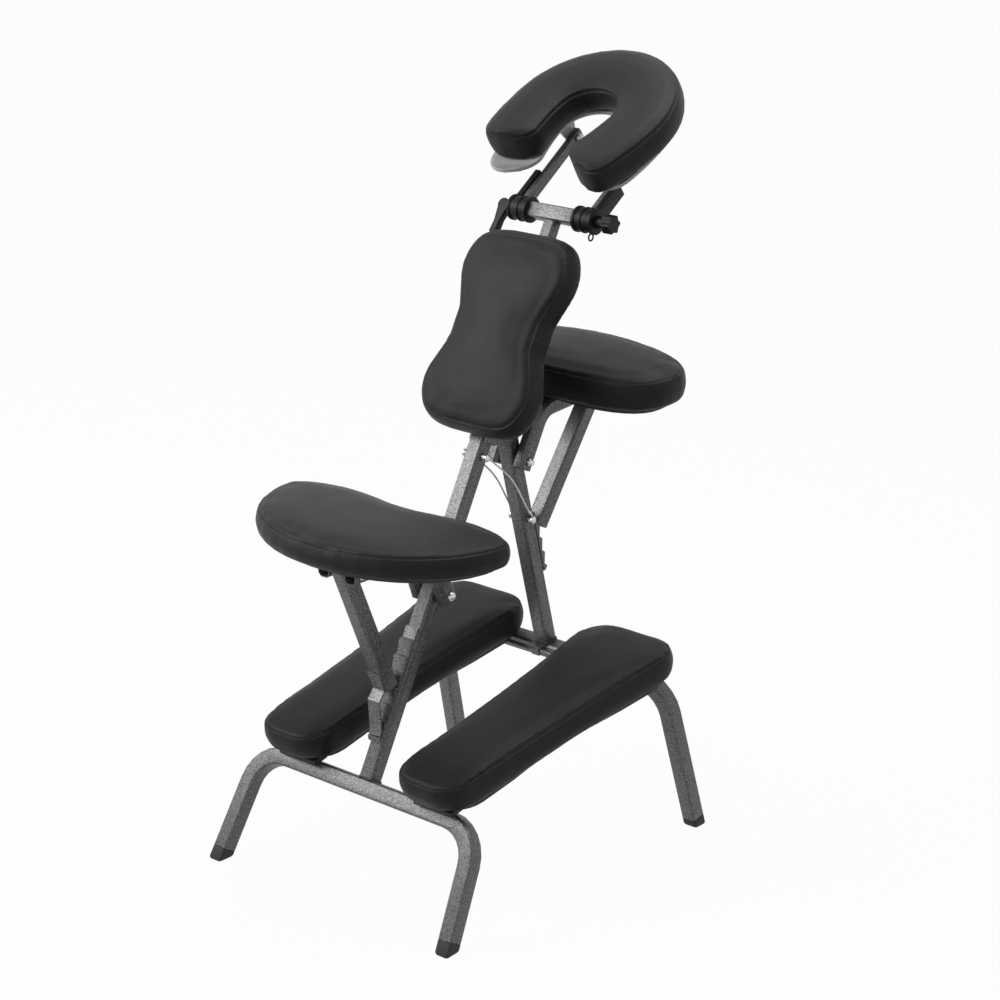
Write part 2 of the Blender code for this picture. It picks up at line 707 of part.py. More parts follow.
# Seat strut: a tube that swings from the seat, with a bent hook set in the spine rack.
seat_strut = body("seat_strut_swing", seat_pin)
strut_end = on_spine(SEAT_LEDGE + STRUT_ABOVE_LEDGE, -SEAT_STRUT_STANDOFF)
strut_down = (strut_end - seat_pin).normalized()
strut = add("seat_strut", tube(bmesh.new(), [seat_pin - strut_down * STRUT_HEAD, strut_end], X_AXIS,
                               TUBE, TUBE, WALL, TUBE_CORNER), COAT, seat_strut)
bore(strut, seat_pin, X_AXIS, PIVOT_BOLT + PIN_GAP, TUBE)
HOOK = 0.003
HOOK_GAP = 0.0007
strut_rear = strut_down.cross(X_AXIS).normalized()
hook_ledge = rack_root + TOOTH * 0.5 + HOOK / 2.0
hook_start = strut_end - strut_down * 0.040 + strut_rear * (HALF + GAP + HOOK / 2.0)
hook_root = strut_end - strut_down * 0.006 + strut_rear * (HALF + GAP + HOOK / 2.0)
hook_bow = on_spine(SEAT_LEDGE + 0.050, -0.052)
hook_swing = (on_spine(SEAT_LEDGE, -hook_ledge) - seat_pin).cross(X_AXIS)
ledge_drop = TOOTH * abs(hook_swing.dot(SPINE_UP) / hook_swing.dot(SPINE_OUT))
hook_tip = on_spine(SEAT_LEDGE - ledge_drop / 2.0 + HOOK_GAP, -hook_ledge)
hook_heel = on_spine(SEAT_LEDGE + 0.006, -hook_ledge)
hook_path = [hook_start, hook_root, hook_bow, hook_heel, hook_tip]
hook = loft(bmesh.new(), swept(hook_path, X_AXIS, rounded(RACK_WIDTH, HOOK, 0.0008)))
add("seat_strut_hook", hook, COAT, seat_strut)
seat_rack = saw_rack(bmesh.new(), on_spine, -1.0, SEAT_LEDGE, SEAT_TEETH, ledge_drop)
add("seat_rack", seat_rack, COAT, rear_frame)

# Armrest: bearers on the post, board and cushion, propped by its own strut.
arm_pivot = on_post(POST_PIVOT_T - ARM_PIVOT_BELOW)
armrest = body("armrest", arm_pivot)
ARM_ALONG = Vector((0.0, math.cos(ARM_TILT), math.sin(ARM_TILT)))
ARM_UP = Vector((0.0, -math.sin(ARM_TILT), math.cos(ARM_TILT)))
arm_bend = arm_pivot + SPINE_UP * (ARM_LEG_RISE / SPINE_UP.z)
arm_run = [arm_pivot - SPINE_UP * BEARER_END, arm_bend, arm_bend + ARM_ALONG * ARM_RUN]
arm_pin = arm_run[2] - ARM_ALONG * BEARER_END
for hand, word in SIDES:
    piece = add("armrest_bearer_" + word, bearer(arm_run, hand), COAT, armrest)
    bore(piece, arm_pivot, X_AXIS, PIVOT_BOLT + PIN_GAP, BEARER_X + BEARER_WIDTH)
    bore(piece, arm_pin, X_AXIS, PIVOT_BOLT + PIN_GAP, BEARER_X + BEARER_WIDTH)
bore(post, arm_pivot, X_AXIS, PIVOT_BOLT + PIN_GAP, TUBE)
add("armrest_pivot_bolt", pivot_bolt(arm_pivot), ZINC, armrest)
add("armrest_strut_bolt", pivot_bolt(arm_pin), ZINC, armrest)

arm_origin = arm_bend + ARM_UP * (BEARER_DEPTH / 2.0 + GAP)
arm_middle = (REAR_FOOT_Y + ARM_WIDEST_Y - arm_origin.y) / ARM_ALONG.y
ARM_OUTLINE = bean(ARM_HALF, ARM_BACK, ARM_FRONT, 3.0, 2.0, 0.0)


def on_armrest(point, height):
    return (arm_origin + X_AXIS * (ARM_SHIFT + point.x) + ARM_ALONG * (arm_middle + point.y)
            + ARM_UP * height)


def on_armrest_cushion(point, height):
    return on_armrest(point, BOARD + GAP + height)


add("armrest_board", panel(ARM_OUTLINE, on_armrest, BOARD_INSET, BOARD), PLYWOOD, armrest)
add("armrest_cushion", pillow(ARM_OUTLINE, on_armrest_cushion, ARM_BAND, ARM_CROWN), VINYL, armrest)

# Armrest strut: a tube whose cut end sits square on a tooth of the post rack.
armrest_strut = body("armrest_strut_swing", arm_pin)
prop_down = Vector((0.0, -math.sin(ARM_STRUT_LEAN), -math.cos(ARM_STRUT_LEAN)))
prop_rear = prop_down.cross(X_AXIS).normalized()
pin_out = (arm_pin - FRONT_FOOT).dot(POST_OUT)
heel_out = rack_root + 0.002
prop_length = (heel_out - pin_out - HALF * prop_rear.dot(POST_OUT)) / prop_down.dot(POST_OUT)
prop_end = arm_pin + prop_down * prop_length
prop = add("armrest_strut", tube(bmesh.new(), [arm_pin - prop_down * STRUT_HEAD, prop_end], X_AXIS,
                                 TUBE, TUBE, WALL, TUBE_CORNER), COAT, armrest_strut)
bore(prop, arm_pin, X_AXIS, PIVOT_BOLT + PIN_GAP, TUBE)
prop_heel = prop_end + prop_rear * HALF + prop_down * ARM_STRUT_CLEAR
slope = prop_rear.dot(POST_UP) / prop_rear.dot(POST_OUT)
heel_t = (prop_heel - FRONT_FOOT).dot(POST_UP)
heel_n = (prop_heel - FRONT_FOOT).dot(POST_OUT)
top_ledge = heel_t + slope * (rack_root - heel_n)
arm_rack = saw_rack(bmesh.new(), on_post, 1.0, top_ledge - (ARM_TEETH - 1) * PITCH, ARM_TEETH,
                    -slope * TOOTH)
add("armrest_rack", arm_rack, COAT, front_frame)

# Chest rest: an hourglass cushion on a board and a sleeve that slides on the spine.
chest = body("chest_rest", on_spine(CHEST_S))
sleeve_size = TUBE + 2.0 * (GAP + SLEEVE_WALL)
sleeve_path = [on_spine(CHEST_S - SLEEVE / 2.0), on_spine(CHEST_S + SLEEVE / 2.0)]
sleeve = add("chest_sleeve", tube(bmesh.new(), sleeve_path, X_AXIS, sleeve_size, sleeve_size,
                                  SLEEVE_WALL, 0.004), COAT, chest)
chest_face = sleeve_size / 2.0 + GAP
chest_outline = []
for i in range(44):
    turn = 2.0 * math.pi * (i + 0.5) / 44
    up = math.copysign(abs(math.sin(turn)) ** 0.7, math.sin(turn))
    lobe = CHEST_TOP_HALF if up > 0 else CHEST_LOW_HALF
    swell = math.sin(math.pi / 2.0 * min(1.0, abs(up) / 0.68)) ** 2
    wide = CHEST_WAIST_HALF + (lobe - CHEST_WAIST_HALF) * swell
    close = (1.0 - abs(up) ** 4.5) ** (1.0 / 4.5)
    chest_outline.append(Vector((wide * math.copysign(close, math.cos(turn)), up * CHEST_LENGTH / 2.0)))


def on_chest(point, height):
    return on_spine(CHEST_S + point.y, -chest_face - height, CHEST_SHIFT + point.x)


def on_chest_cushion(point, height):
    return on_chest(point, BOARD + GAP + height)


add("chest_board", panel(chest_outline, on_chest, BOARD_INSET, BOARD), PLYWOOD, chest)
chest_pad = pillow(chest_outline, on_chest_cushion, CHEST_BAND, CHEST_CROWN, CHEST_FLARE)
add("chest_cushion", chest_pad, VINYL, chest)
knob_face = on_spine(CHEST_S, sleeve_size / 2.0)
chest_knob = body("chest_knob_pivot", knob_face)
add("chest_knob", hand_knob(bmesh.new(), knob_face, SPINE_OUT, SLEEVE_WALL), PLASTIC, chest_knob)
bore(sleeve, knob_face, SPINE_OUT, STUD + PIN_GAP, SLEEVE_WALL * 1.5)

# Head post: a tube that slides in the spine and carries the cradle bar.
head_post = body("head_post", on_spine(BAR_S))
post_end = BAR_S - BAR_TUBE / 2.0 - GAP
add("head_post_tube", tube(bmesh.new(), [on_spine(SPINE_TOP - POST_OVERLAP), on_spine(post_end)], X_AXIS,
                           INNER_POST, INNER_POST, WALL, 0.002), ZINC, head_post)
bar_axis = on_spine(BAR_S)
bar_ends = [bar_axis - X_AXIS * BAR_HALF, bar_axis + X_AXIS * BAR_HALF]
add("cradle_bar", tube(bmesh.new(), bar_ends, SPINE_UP, BAR_TUBE, BAR_TUBE, WALL, 0.002), COAT, head_post)
axle = [(-AXLE_LEFT, AXLE), (AXLE_RIGHT, AXLE)]
add("cradle_axle", lathe(bmesh.new(), axle, bar_axis, X_AXIS, 24), ZINC, head_post)

# Cradle arms: a clamp drum and an arm on each side, turning on the bar.
cradle_arms = body("cradle_arms", bar_axis)
ARM_OUT = Vector((0.0, math.cos(ARM_RISE), math.sin(ARM_RISE)))
ARM_OVER = Vector((0.0, -math.sin(ARM_RISE), math.cos(ARM_RISE)))
arm_side = ARM_X + ARM_WIDTH / 2.0
cradle_pivot = bar_axis + ARM_OUT * ARM_LENGTH
for hand, word in SIDES:
    drum = lathe(bmesh.new(), [(hand * DRUM_IN, DRUM), (hand * DRUM_OUT, DRUM)], bar_axis, X_AXIS, 28)
    clamp = add("cradle_clamp_" + word, drum, PLASTIC, cradle_arms)
    block_start = AXLE + 0.002
    block_width = DRUM_OUT - 0.0005 - arm_side - GAP
    middle = bar_axis + ARM_OUT * ((block_start + CLAMP_REACH) / 2.0)
    middle += X_AXIS * (hand * (arm_side + GAP + block_width / 2.0))
    block = box(bmesh.new(), middle, (X_AXIS, ARM_OVER, ARM_OUT),
                (block_width, CLAMP_DEPTH, CLAMP_REACH - block_start))
    shape(clamp, block, "UNION")
    bore(clamp, bar_axis, X_AXIS, AXLE + PIN_GAP, AXLE_RIGHT)
    middle = X_AXIS * (hand * ARM_X)
    path = [bar_axis + ARM_OUT * (DRUM + GAP) + middle, cradle_pivot + ARM_OUT * 0.012 + middle]
    side_arm = tube(bmesh.new(), path, X_AXIS, ARM_WIDTH, ARM_DEPTH, WALL, 0.002)
    side_arm = add("cradle_arm_" + word, side_arm, COAT, cradle_arms)
    bore(side_arm, cradle_pivot, X_AXIS, CRADLE_BOLT + PIN_GAP, ARM_X * 2.0)

cam_axis = bar_axis - X_AXIS * (AXLE_LEFT + GAP + CAM)
cam = body("cam_lever_pivot", cam_axis)
edge = []
for k in range(13):
    turn = math.radians(-30.0 + 240.0 * k / 12)
    edge.append((CAM * math.cos(turn), CAM * math.sin(turn)))
edge += [(-CAM * 0.75, -CAM_LENGTH * 0.55), (-CAM * 1.05, -CAM_LENGTH * 0.92), (-CAM * 0.6, -CAM_LENGTH),
         (CAM * 0.1, -CAM_LENGTH * 0.95), (CAM * 0.25, -CAM_LENGTH * 0.5)]
lever = prism(bmesh.new(), edge, cam_axis - SPINE_OUT * (CAM_WIDTH / 2.0), X_AXIS, SPINE_UP,
              SPINE_OUT * CAM_WIDTH)
add("cam_lever", lever, PLASTIC, cam)

star_face = bar_axis + X_AXIS * (AXLE_RIGHT + GAP)
star = body("star_knob_pivot", star_face)
edge = []
for k in range(36):
    turn = 2.0 * math.pi * k / 36
    reach = KNOB * (0.88 + 0.12 * math.cos(6.0 * turn))
    edge.append((reach * math.cos(turn), reach * math.sin(turn)))
add("star_knob", prism(bmesh.new(), edge, star_face, SPINE_UP, SPINE_OUT, X_AXIS * 0.017), PLASTIC, star)

# Face rest: a horseshoe cushion on a moulded platform that tilts between the arms.
face_rest = body("face_rest", cradle_pivot)
FACE_ALONG = Vector((0.0, math.cos(FACE_TILT), math.sin(FACE_TILT)))
FACE_UP = Vector((0.0, -math.sin(FACE_TILT), math.cos(FACE_TILT)))
face_origin = cradle_pivot + FACE_UP * FACE_ABOVE + FACE_ALONG * FACE_AHEAD


def on_face(point, height):
    """A point of the face rest over the underside of its platform."""
    return face_origin + X_AXIS * point.x + FACE_ALONG * point.y + FACE_UP * height


horseshoe = []
for k in range(7):
    share = k / 7.0
    horseshoe.append(Vector((FACE_LOBE + (FACE_HALF - FACE_LOBE) * math.sin(share * math.pi / 2.0),
                             -FACE_NEAR * math.cos(share * math.pi / 2.0))))
for k in range(21):
    turn = math.pi * k / 20
    horseshoe.append(Vector((FACE_HALF * math.cos(turn), FACE_FAR * math.sin(turn))))
horseshoe += [Vector((-p.x, p.y)) for p in horseshoe[6::-1]]


def horseshoe_rings(section, ends, shift=0.0, turn=0.0):
    """Carry a section of (share of width, height) round the horseshoe, moved on its plane."""
    rings = []
    cos, sin = math.cos(turn), math.sin(turn)
    last = len(horseshoe) - 1
    for i, point in enumerate(horseshoe):
        ahead = (horseshoe[min(i + 1, last)] - horseshoe[max(i - 1, 0)]).normalized()
        out = Vector((ahead.y, -ahead.x))
        near = min(i, last - i)
        taper = ends[near] if near < len(ends) else 1.0
        ring = []
        for u, h in section:
            flat = point + out * (FACE_WIDTH * taper * u)
            turned = Vector((flat.x * cos - flat.y * sin + shift, flat.x * sin + flat.y * cos))
            ring.append(on_face(turned, h))
        rings.append(ring)
    return rings


foot = PLATFORM + GAP
seam = foot + FACE_BAND
dome = seam + FACE_CROWN
pad_section = [(-0.72, foot), (0.72, foot), (0.93, foot + 0.006), (1.0, foot + FACE_BAND * 0.5),
               (0.97, seam - 0.004), (0.93, seam), (0.95, seam + 0.003), (0.72, dome - 0.005),
               (0.25, dome), (-0.25, dome - 0.001), (-0.72, dome - 0.007), (-0.95, seam),
               (-1.0, foot + FACE_BAND * 0.5), (-0.93, foot + 0.006)]
face_pad = loft(bmesh.new(), horseshoe_rings(pad_section, (0.74, 0.92), FACE_SHIFT, FACE_TURN))
add("face_cushion", face_pad, VINYL, face_rest)
plate_section = [(-0.84, 0.0), (0.84, 0.0), (0.84, PLATFORM), (-0.84, PLATFORM)]
platform = loft(bmesh.new(), horseshoe_rings(plate_section, (0.6, 0.9)))
platform = add("cradle_platform", platform, GREY_PLASTIC, face_rest)
for hand, word in SIDES:
    edge = [(-LUG_HALF, FACE_ABOVE + WELD), (LUG_HALF, FACE_ABOVE + WELD)]
    for k in range(9):
        turn = math.radians(-10.0 - 20.0 * k)
        edge.append((LUG_NOSE * math.cos(turn), LUG_NOSE * math.sin(turn)))
    start = cradle_pivot + X_AXIS * (hand * (arm_side + GAP))
    lug = prism(bmesh.new(), edge, start, FACE_ALONG, FACE_UP, X_AXIS * (hand * LUG))
    bore(shape(platform, lug, "UNION"), cradle_pivot, X_AXIS, CRADLE_BOLT + PIN_GAP, ARM_X * 2.0)
    grip = ARM_WIDTH + LUG + GAP
    middle = cradle_pivot + X_AXIS * (hand * (ARM_X - ARM_WIDTH / 2.0 + grip / 2.0))
    bolt = through_bolt(bmesh.new(), middle, CRADLE_BOLT, grip, 0.007)
    add("cradle_pivot_bolt_" + word, bolt, ZINC, face_rest)


# Stay cables: wire rope from the spine to the post, bowed forward of the straight line.
def cable(name, side):
    eye = CABLE_BOLT + PIN_GAP + CABLE / 2.0
    start = spine_eye + X_AXIS * (side * CABLE_X)
    end = post_eye + X_AXIS * (side * CABLE_X)
    line = (end - start).normalized()
    bulge = X_AXIS.cross(line).normalized()
    points = []
    for k in range(13):
        turn = math.radians(200.0 - 20.0 * k)
        points.append(start - line * (eye * math.sin(turn)) + bulge * (eye * math.cos(turn)))
    reach = (end - start).length
    for k in range(1, 24):
        share = k / 24.0
        bow = CABLE_BOW * math.sin(math.pi * share) * (1.0 - 0.45 * share) + eye
        points.append(start + line * (reach * share) + bulge * bow)
    for k in range(13):
        turn = math.radians(40.0 - 20.0 * k)
        points.append(end + line * (eye * math.sin(turn)) + bulge * (eye * math.cos(turn)))
    curve = bpy.data.curves.new(name, "CURVE")
    curve.dimensions = "3D"
    curve.bevel_depth = CABLE / 2.0
    curve.bevel_resolution = 2
    curve.use_fill_caps = True
    spline = curve.splines.new("POLY")
    spline.points.add(len(points) - 1)
    for knot, point in zip(spline.points, points):
        knot.co = (*(point - rear_frame.location), 1.0)
    curve.materials.append(material(name + "_" + ROPE[0], *ROPE[1:]))
    rope = bpy.data.objects.new(name, curve)
    scene.collection.objects.link(rope)
    rope.parent = rear_frame


cable("stay_cable_left", -1)
cable("stay_cable_right", 1)
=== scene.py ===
import math

import bmesh
import bpy
import numpy as np
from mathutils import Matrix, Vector, noise
from mathutils.bvhtree import BVHTree


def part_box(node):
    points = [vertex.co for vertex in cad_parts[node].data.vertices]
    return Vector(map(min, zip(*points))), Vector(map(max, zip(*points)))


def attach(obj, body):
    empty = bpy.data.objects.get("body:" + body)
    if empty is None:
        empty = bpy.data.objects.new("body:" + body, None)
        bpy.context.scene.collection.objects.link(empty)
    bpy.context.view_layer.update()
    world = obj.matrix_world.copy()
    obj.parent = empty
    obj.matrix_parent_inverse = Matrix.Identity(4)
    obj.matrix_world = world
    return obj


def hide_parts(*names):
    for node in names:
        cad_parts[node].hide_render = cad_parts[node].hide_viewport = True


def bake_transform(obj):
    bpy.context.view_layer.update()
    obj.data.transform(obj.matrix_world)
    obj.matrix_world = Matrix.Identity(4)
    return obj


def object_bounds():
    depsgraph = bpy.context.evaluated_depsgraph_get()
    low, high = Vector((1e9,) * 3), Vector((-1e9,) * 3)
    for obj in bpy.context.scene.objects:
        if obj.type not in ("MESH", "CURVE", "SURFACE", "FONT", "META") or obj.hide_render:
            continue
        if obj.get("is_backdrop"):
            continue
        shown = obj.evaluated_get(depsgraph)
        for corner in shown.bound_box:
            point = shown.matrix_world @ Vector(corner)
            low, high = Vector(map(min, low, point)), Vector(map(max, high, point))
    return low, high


# Studio: a seamless white sweep, one broad soft lamp high on the sitter's left and behind,
# and a weak fill, with the camera where the picture was taken from.
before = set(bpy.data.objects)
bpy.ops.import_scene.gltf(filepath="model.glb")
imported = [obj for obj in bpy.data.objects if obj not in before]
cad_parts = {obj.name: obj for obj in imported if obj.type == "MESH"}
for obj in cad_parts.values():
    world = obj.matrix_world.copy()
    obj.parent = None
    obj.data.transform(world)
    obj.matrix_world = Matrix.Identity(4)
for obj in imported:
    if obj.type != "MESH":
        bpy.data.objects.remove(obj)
cad_box = [list(corner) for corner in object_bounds()]
scene = bpy.context.scene
scene.view_settings.view_transform = "Standard"


def ink(code):
    """A written sRGB colour as linear red, green, blue and alpha."""
    parts = [int(code[i:i + 2], 16) / 255.0 for i in (1, 3, 5)]
    return tuple(p / 12.92 if p <= 0.04045 else ((p + 0.055) / 1.055) ** 2.4 for p in parts) + (1.0,)


def put(tree, kind, settings=None, feeds=None):
    """Add a node, give it its settings, and set or link each input named in feeds."""
    made = tree.nodes.new(kind)
    for word, value in (settings or {}).items():
        setattr(made, word, value)
    for word, value in (feeds or {}).items():
        if isinstance(value, bpy.types.NodeSocket):
            tree.links.new(value, made.inputs[word])
        else:
            made.inputs[word].default_value = value
    return made


def surface(name):
    """A fresh material: its tree, its shader and the object coordinates that patterns read."""
    made = bpy.data.materials.new(name)
    made.use_nodes = True
    tree = made.node_tree
    where = put(tree, "ShaderNodeTexCoord").outputs["Object"]
    return made, tree, tree.nodes["Principled BSDF"], where


camera = bpy.data.objects.new("camera", bpy.data.cameras.new("camera"))
scene.collection.objects.link(camera)
camera.data.sensor_width = 36.0
camera.data.lens = 93.411
turn, dip = math.radians(40.71), math.radians(18.788)
look = Vector((-math.sin(turn) * math.cos(dip), math.cos(turn) * math.cos(dip), -math.sin(dip)))
camera.location = (2.61969, -2.99486, 1.93705)
camera.rotation_euler = look.to_track_quat("-Z", "Y").to_euler()
scene.camera = camera

backdrop, tree, shader, where = surface("white_paper_sweep")
shader.inputs["Base Color"].default_value = ink("#B8B8B8")
shader.inputs["Roughness"].default_value = 0.9
path = put(tree, "ShaderNodeLightPath")
direct = put(tree, "ShaderNodeMath", {"operation": "MAXIMUM"},
             {0: path.outputs["Is Camera Ray"], 1: path.outputs["Is Transmission Ray"]})
seen = put(tree, "ShaderNodeMath", {"operation": "MAXIMUM"},
           {0: direct.outputs[0], 1: path.outputs["Is Glossy Ray"]})
share = put(tree, "ShaderNodeMath", {"operation": "MULTIPLY"}, {0: seen.outputs[0], 1: 0.97})
glow = put(tree, "ShaderNodeEmission", None, {"Color": (1.0, 1.0, 1.0, 1.0), "Strength": 1.0})
mixed = put(tree, "ShaderNodeMixShader", None,
            {0: share.outputs[0], 1: shader.outputs[0], 2: glow.outputs[0]})
tree.links.new(mixed.outputs[0], tree.nodes["Material Output"].inputs["Surface"])
sweep = bmesh.new()
bmesh.ops.create_grid(sweep, x_segments=1, y_segments=1, size=40.0)
paper = bpy.data.meshes.new("floor")
sweep.to_mesh(paper)
sweep.free()
paper.materials.append(backdrop)
floor = bpy.data.objects.new("floor", paper)
scene.collection.objects.link(floor)
floor.location.z = -0.0005
floor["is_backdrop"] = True

world = bpy.data.worlds.new("studio")
scene.world = world
world.use_nodes = True
air = world.node_tree
path = put(air, "ShaderNodeLightPath")
direct = put(air, "ShaderNodeMath", {"operation": "MAXIMUM"},
             {0: path.outputs["Is Camera Ray"], 1: path.outputs["Is Transmission Ray"]})
seen = put(air, "ShaderNodeMath", {"operation": "MAXIMUM"},
           {0: direct.outputs[0], 1: path.outputs["Is Glossy Ray"]})
strength = put(air, "ShaderNodeMath", {"operation": "MULTIPLY_ADD"}, {0: seen.outputs[0], 1: 0.80, 2: 0.20})
air.links.new(strength.outputs[0], air.nodes["Background"].inputs["Strength"])
air.nodes["Background"].inputs["Color"].default_value = (1.0, 1.0, 1.0, 1.0)

for name, spot, size, power in (("key_softbox", (-2.6, -2.9, 2.9), 2.4, 170.0),
                                ("top_softbox", (0.2, 0.6, 3.4), 2.0, 60.0),
                                ("fill_card", (3.4, 0.4, 1.6), 1.6, 5.0)):
    lamp = bpy.data.objects.new(name, bpy.data.lights.new(name, "AREA"))
    scene.collection.objects.link(lamp)
    lamp.data.shape = "DISK"
    lamp.data.size = size
    lamp.data.energy = power
    lamp.location = spot
    lamp.rotation_euler = (Vector((0.0, 0.0, 0.6)) - Vector(spot)).to_track_quat("-Z", "Y").to_euler()

# Stay cables: two short lengths of 3 mm stranded steel rope, one on each side of the hinge,
# looped round a bolt at each end and closed by a crimped sleeve. They stop the legs opening.
SPINE_UP = Vector((0.0, 0.47519, 0.87988))
SPINE_OUT = Vector((0.0, 0.87988, -0.47519))
SPINE_EYE = Vector((0.0, -0.00911, 0.66167))
POST_EYE = Vector((0.0, 0.10616, 0.52620))
ROPE = 0.003
ROPE_X = 0.019
ROPE_LAY = 0.020
ROPE_BOW = 0.010
CABLE_BOLT = 0.0035
BOLT_CLEARANCE = 0.0003
EYE = CABLE_BOLT + BOLT_CLEARANCE + ROPE / 2.0
SLEEVE_START, SLEEVE_END = 0.026, 0.037
SLEEVE_RADIUS = 0.0026

wire_rope, tree, shader, where = surface("stranded_steel_rope")
shader.inputs["Metallic"].default_value = 1.0
grease = put(tree, "ShaderNodeTexNoise", None, {"Vector": where, "Scale": 1.0 / 0.004, "Detail": 3.0})
tone = put(tree, "ShaderNodeMix", {"data_type": "RGBA"},
           {0: grease.outputs[0], 6: ink("#A4A4A4"), 7: ink("#E0E0E0")})
tree.links.new(tone.outputs[2], shader.inputs["Base Color"])
shader.inputs["Roughness"].default_value = 0.34

line = (POST_EYE - SPINE_EYE).normalized()
bulge = Vector((1.0, 0.0, 0.0)).cross(line).normalized()
reach = (POST_EYE - SPINE_EYE).length


def new_piece(name, mesh, finish):
    """A mesh object at the origin, in one finish."""
    mesh.materials.clear()
    mesh.materials.append(finish)
    made = bpy.data.objects.new(name, mesh)
    scene.collection.objects.link(made)
    return made


def from_bmesh(name, bm, finish, sharp=35.0):
    """A finished object from a bmesh, smooth but for its hard edges."""
    bmesh.ops.recalc_face_normals(bm, faces=bm.faces)
    for face in bm.faces:
        face.smooth = True
    mesh = bpy.data.meshes.new(name)
    bm.to_mesh(mesh)
    bm.free()
    mesh.set_sharp_from_angle(angle=math.radians(sharp))
    return new_piece(name, mesh, finish)


def skin(bm, rings, ends=True):
    """Faces between rings of points, with the two ends closed unless they meet."""
    rows = [[bm.verts.new(p) for p in ring] for ring in rings]
    for low, high in zip(rows, rows[1:]):
        for i in range(len(low)):
            j = (i + 1) % len(low)
            bm.faces.new((low[i], low[j], high[j], high[i]))
    if ends:
        bm.faces.new(rows[0][::-1])
        bm.faces.new(rows[-1])
    return bm


for side, word in ((-1.0, "left"), (1.0, "right")):
    start = SPINE_EYE + Vector((side * ROPE_X, 0.0, 0.0))
    end = POST_EYE + Vector((side * ROPE_X, 0.0, 0.0))
    points = []
    for k in range(13):
        angle = math.radians(240.0 - 20.0 * k)
        points.append(start - line * (EYE * math.sin(angle)) + bulge * (EYE * math.cos(angle)))
    for k in range(1, 48):
        part = k / 48.0
        bow = ROPE_BOW * math.sin(math.pi * part) ** 2 * (1.2 - 0.4 * part) + EYE
        points.append(start + line * (reach * part) + bulge * bow)
    for k in range(13):
        angle = math.radians(20.0 * k)
        points.append(end + line * (EYE * math.sin(angle)) + bulge * (EYE * math.cos(angle)))
    fine = []
    for p, q in zip(points, points[1:]):
        steps = max(1, round((q - p).length / 0.0012))
        fine += [p.lerp(q, k / steps) for k in range(steps)]
    fine.append(points[-1])
    total = sum((q - p).length for p, q in zip(fine, fine[1:]))
    rings, run = [], 0.0
    for i, p in enumerate(fine):
        ahead = (fine[min(i + 1, len(fine) - 1)] - fine[max(i - 1, 0)]).normalized()
        across = Vector((1.0, 0.0, 0.0))
        over = ahead.cross(across).normalized()
        ring = []
        for k in range(24):
            angle = 2.0 * math.pi * k / 24
            laid = 3.0 * (angle - run * 2.0 * math.pi / ROPE_LAY)
            lobe = ROPE / 2.0 * (0.84 + 0.16 * abs(math.cos(laid)))
            if SLEEVE_START < min(run, total - run) < SLEEVE_END:
                lobe = SLEEVE_RADIUS
            ring.append(p + across * (lobe * math.cos(angle)) + over * (lobe * math.sin(angle)))
        rings.append(ring)
        if i + 1 < len(fine):
            run += (fine[i + 1] - p).length
    rope = from_bmesh("stay_rope_" + word, skin(bmesh.new(), rings), wire_rope, 60.0)
    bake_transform(rope)
    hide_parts("stay_cable_" + word)

# Steel frame: 28 mm square tube, bent cold for the legs and welded where the spine and the
# post stand on them, then sprayed in a silver-grey hammer-finish powder coat.
hammertone, tree, shader, where = surface("hammertone_powder_coat")
# The film dries in flat cells about 1.5 mm across, pale aluminium flake with darker veins between.
warp = put(tree, "ShaderNodeTexNoise", None, {"Vector": where, "Scale": 1.0 / 0.004, "Detail": 2.0})
bent = put(tree, "ShaderNodeVectorMath", {"operation": "MULTIPLY_ADD"},
           {0: warp.outputs[1], 1: (0.0012, 0.0012, 0.0012), 2: where})
cells = put(tree, "ShaderNodeTexVoronoi", {"feature": "SMOOTH_F1"},
            {"Vector": bent.outputs[0], "Scale": 1.0 / 0.0016, "Smoothness": 0.35})
veins = put(tree, "ShaderNodeValToRGB", None, {"Fac": cells.outputs["Distance"]})
veins.color_ramp.elements[0].position = 0.18
veins.color_ramp.elements[0].color = ink("#7C7C7C")
veins.color_ramp.elements[1].position = 0.66
veins.color_ramp.elements[1].color = ink("#2E2E2F")
flakes = put(tree, "ShaderNodeTexNoise", None, {"Vector": where, "Scale": 1.0 / 0.0009, "Detail": 1.0})
speck = put(tree, "ShaderNodeMapRange", None,
            {"Value": flakes.outputs[0], "From Min": 0.58, "From Max": 0.72, "To Max": 0.45})
coat = put(tree, "ShaderNodeMix", {"data_type": "RGBA"},
           {0: speck.outputs[0], 6: veins.outputs[0], 7: ink("#C8C8C8")})
tree.links.new(coat.outputs[2], shader.inputs["Base Color"])
shader.inputs["Metallic"].default_value = 0.30
gloss = put(tree, "ShaderNodeMapRange", None,
            {"Value": cells.outputs["Distance"], "To Min": 0.34, "To Max": 0.50})
tree.links.new(gloss.outputs[0], shader.inputs["Roughness"])
dents = put(tree, "ShaderNodeBump", {"invert": True},
            {"Strength": 0.35, "Distance": 0.0004, "Height": cells.outputs["Distance"]})
tree.links.new(dents.outputs[0], shader.inputs["Normal"])
shader.inputs["Coat Weight"].default_value = 0.06
shader.inputs["Coat Roughness"].default_value = 0.22


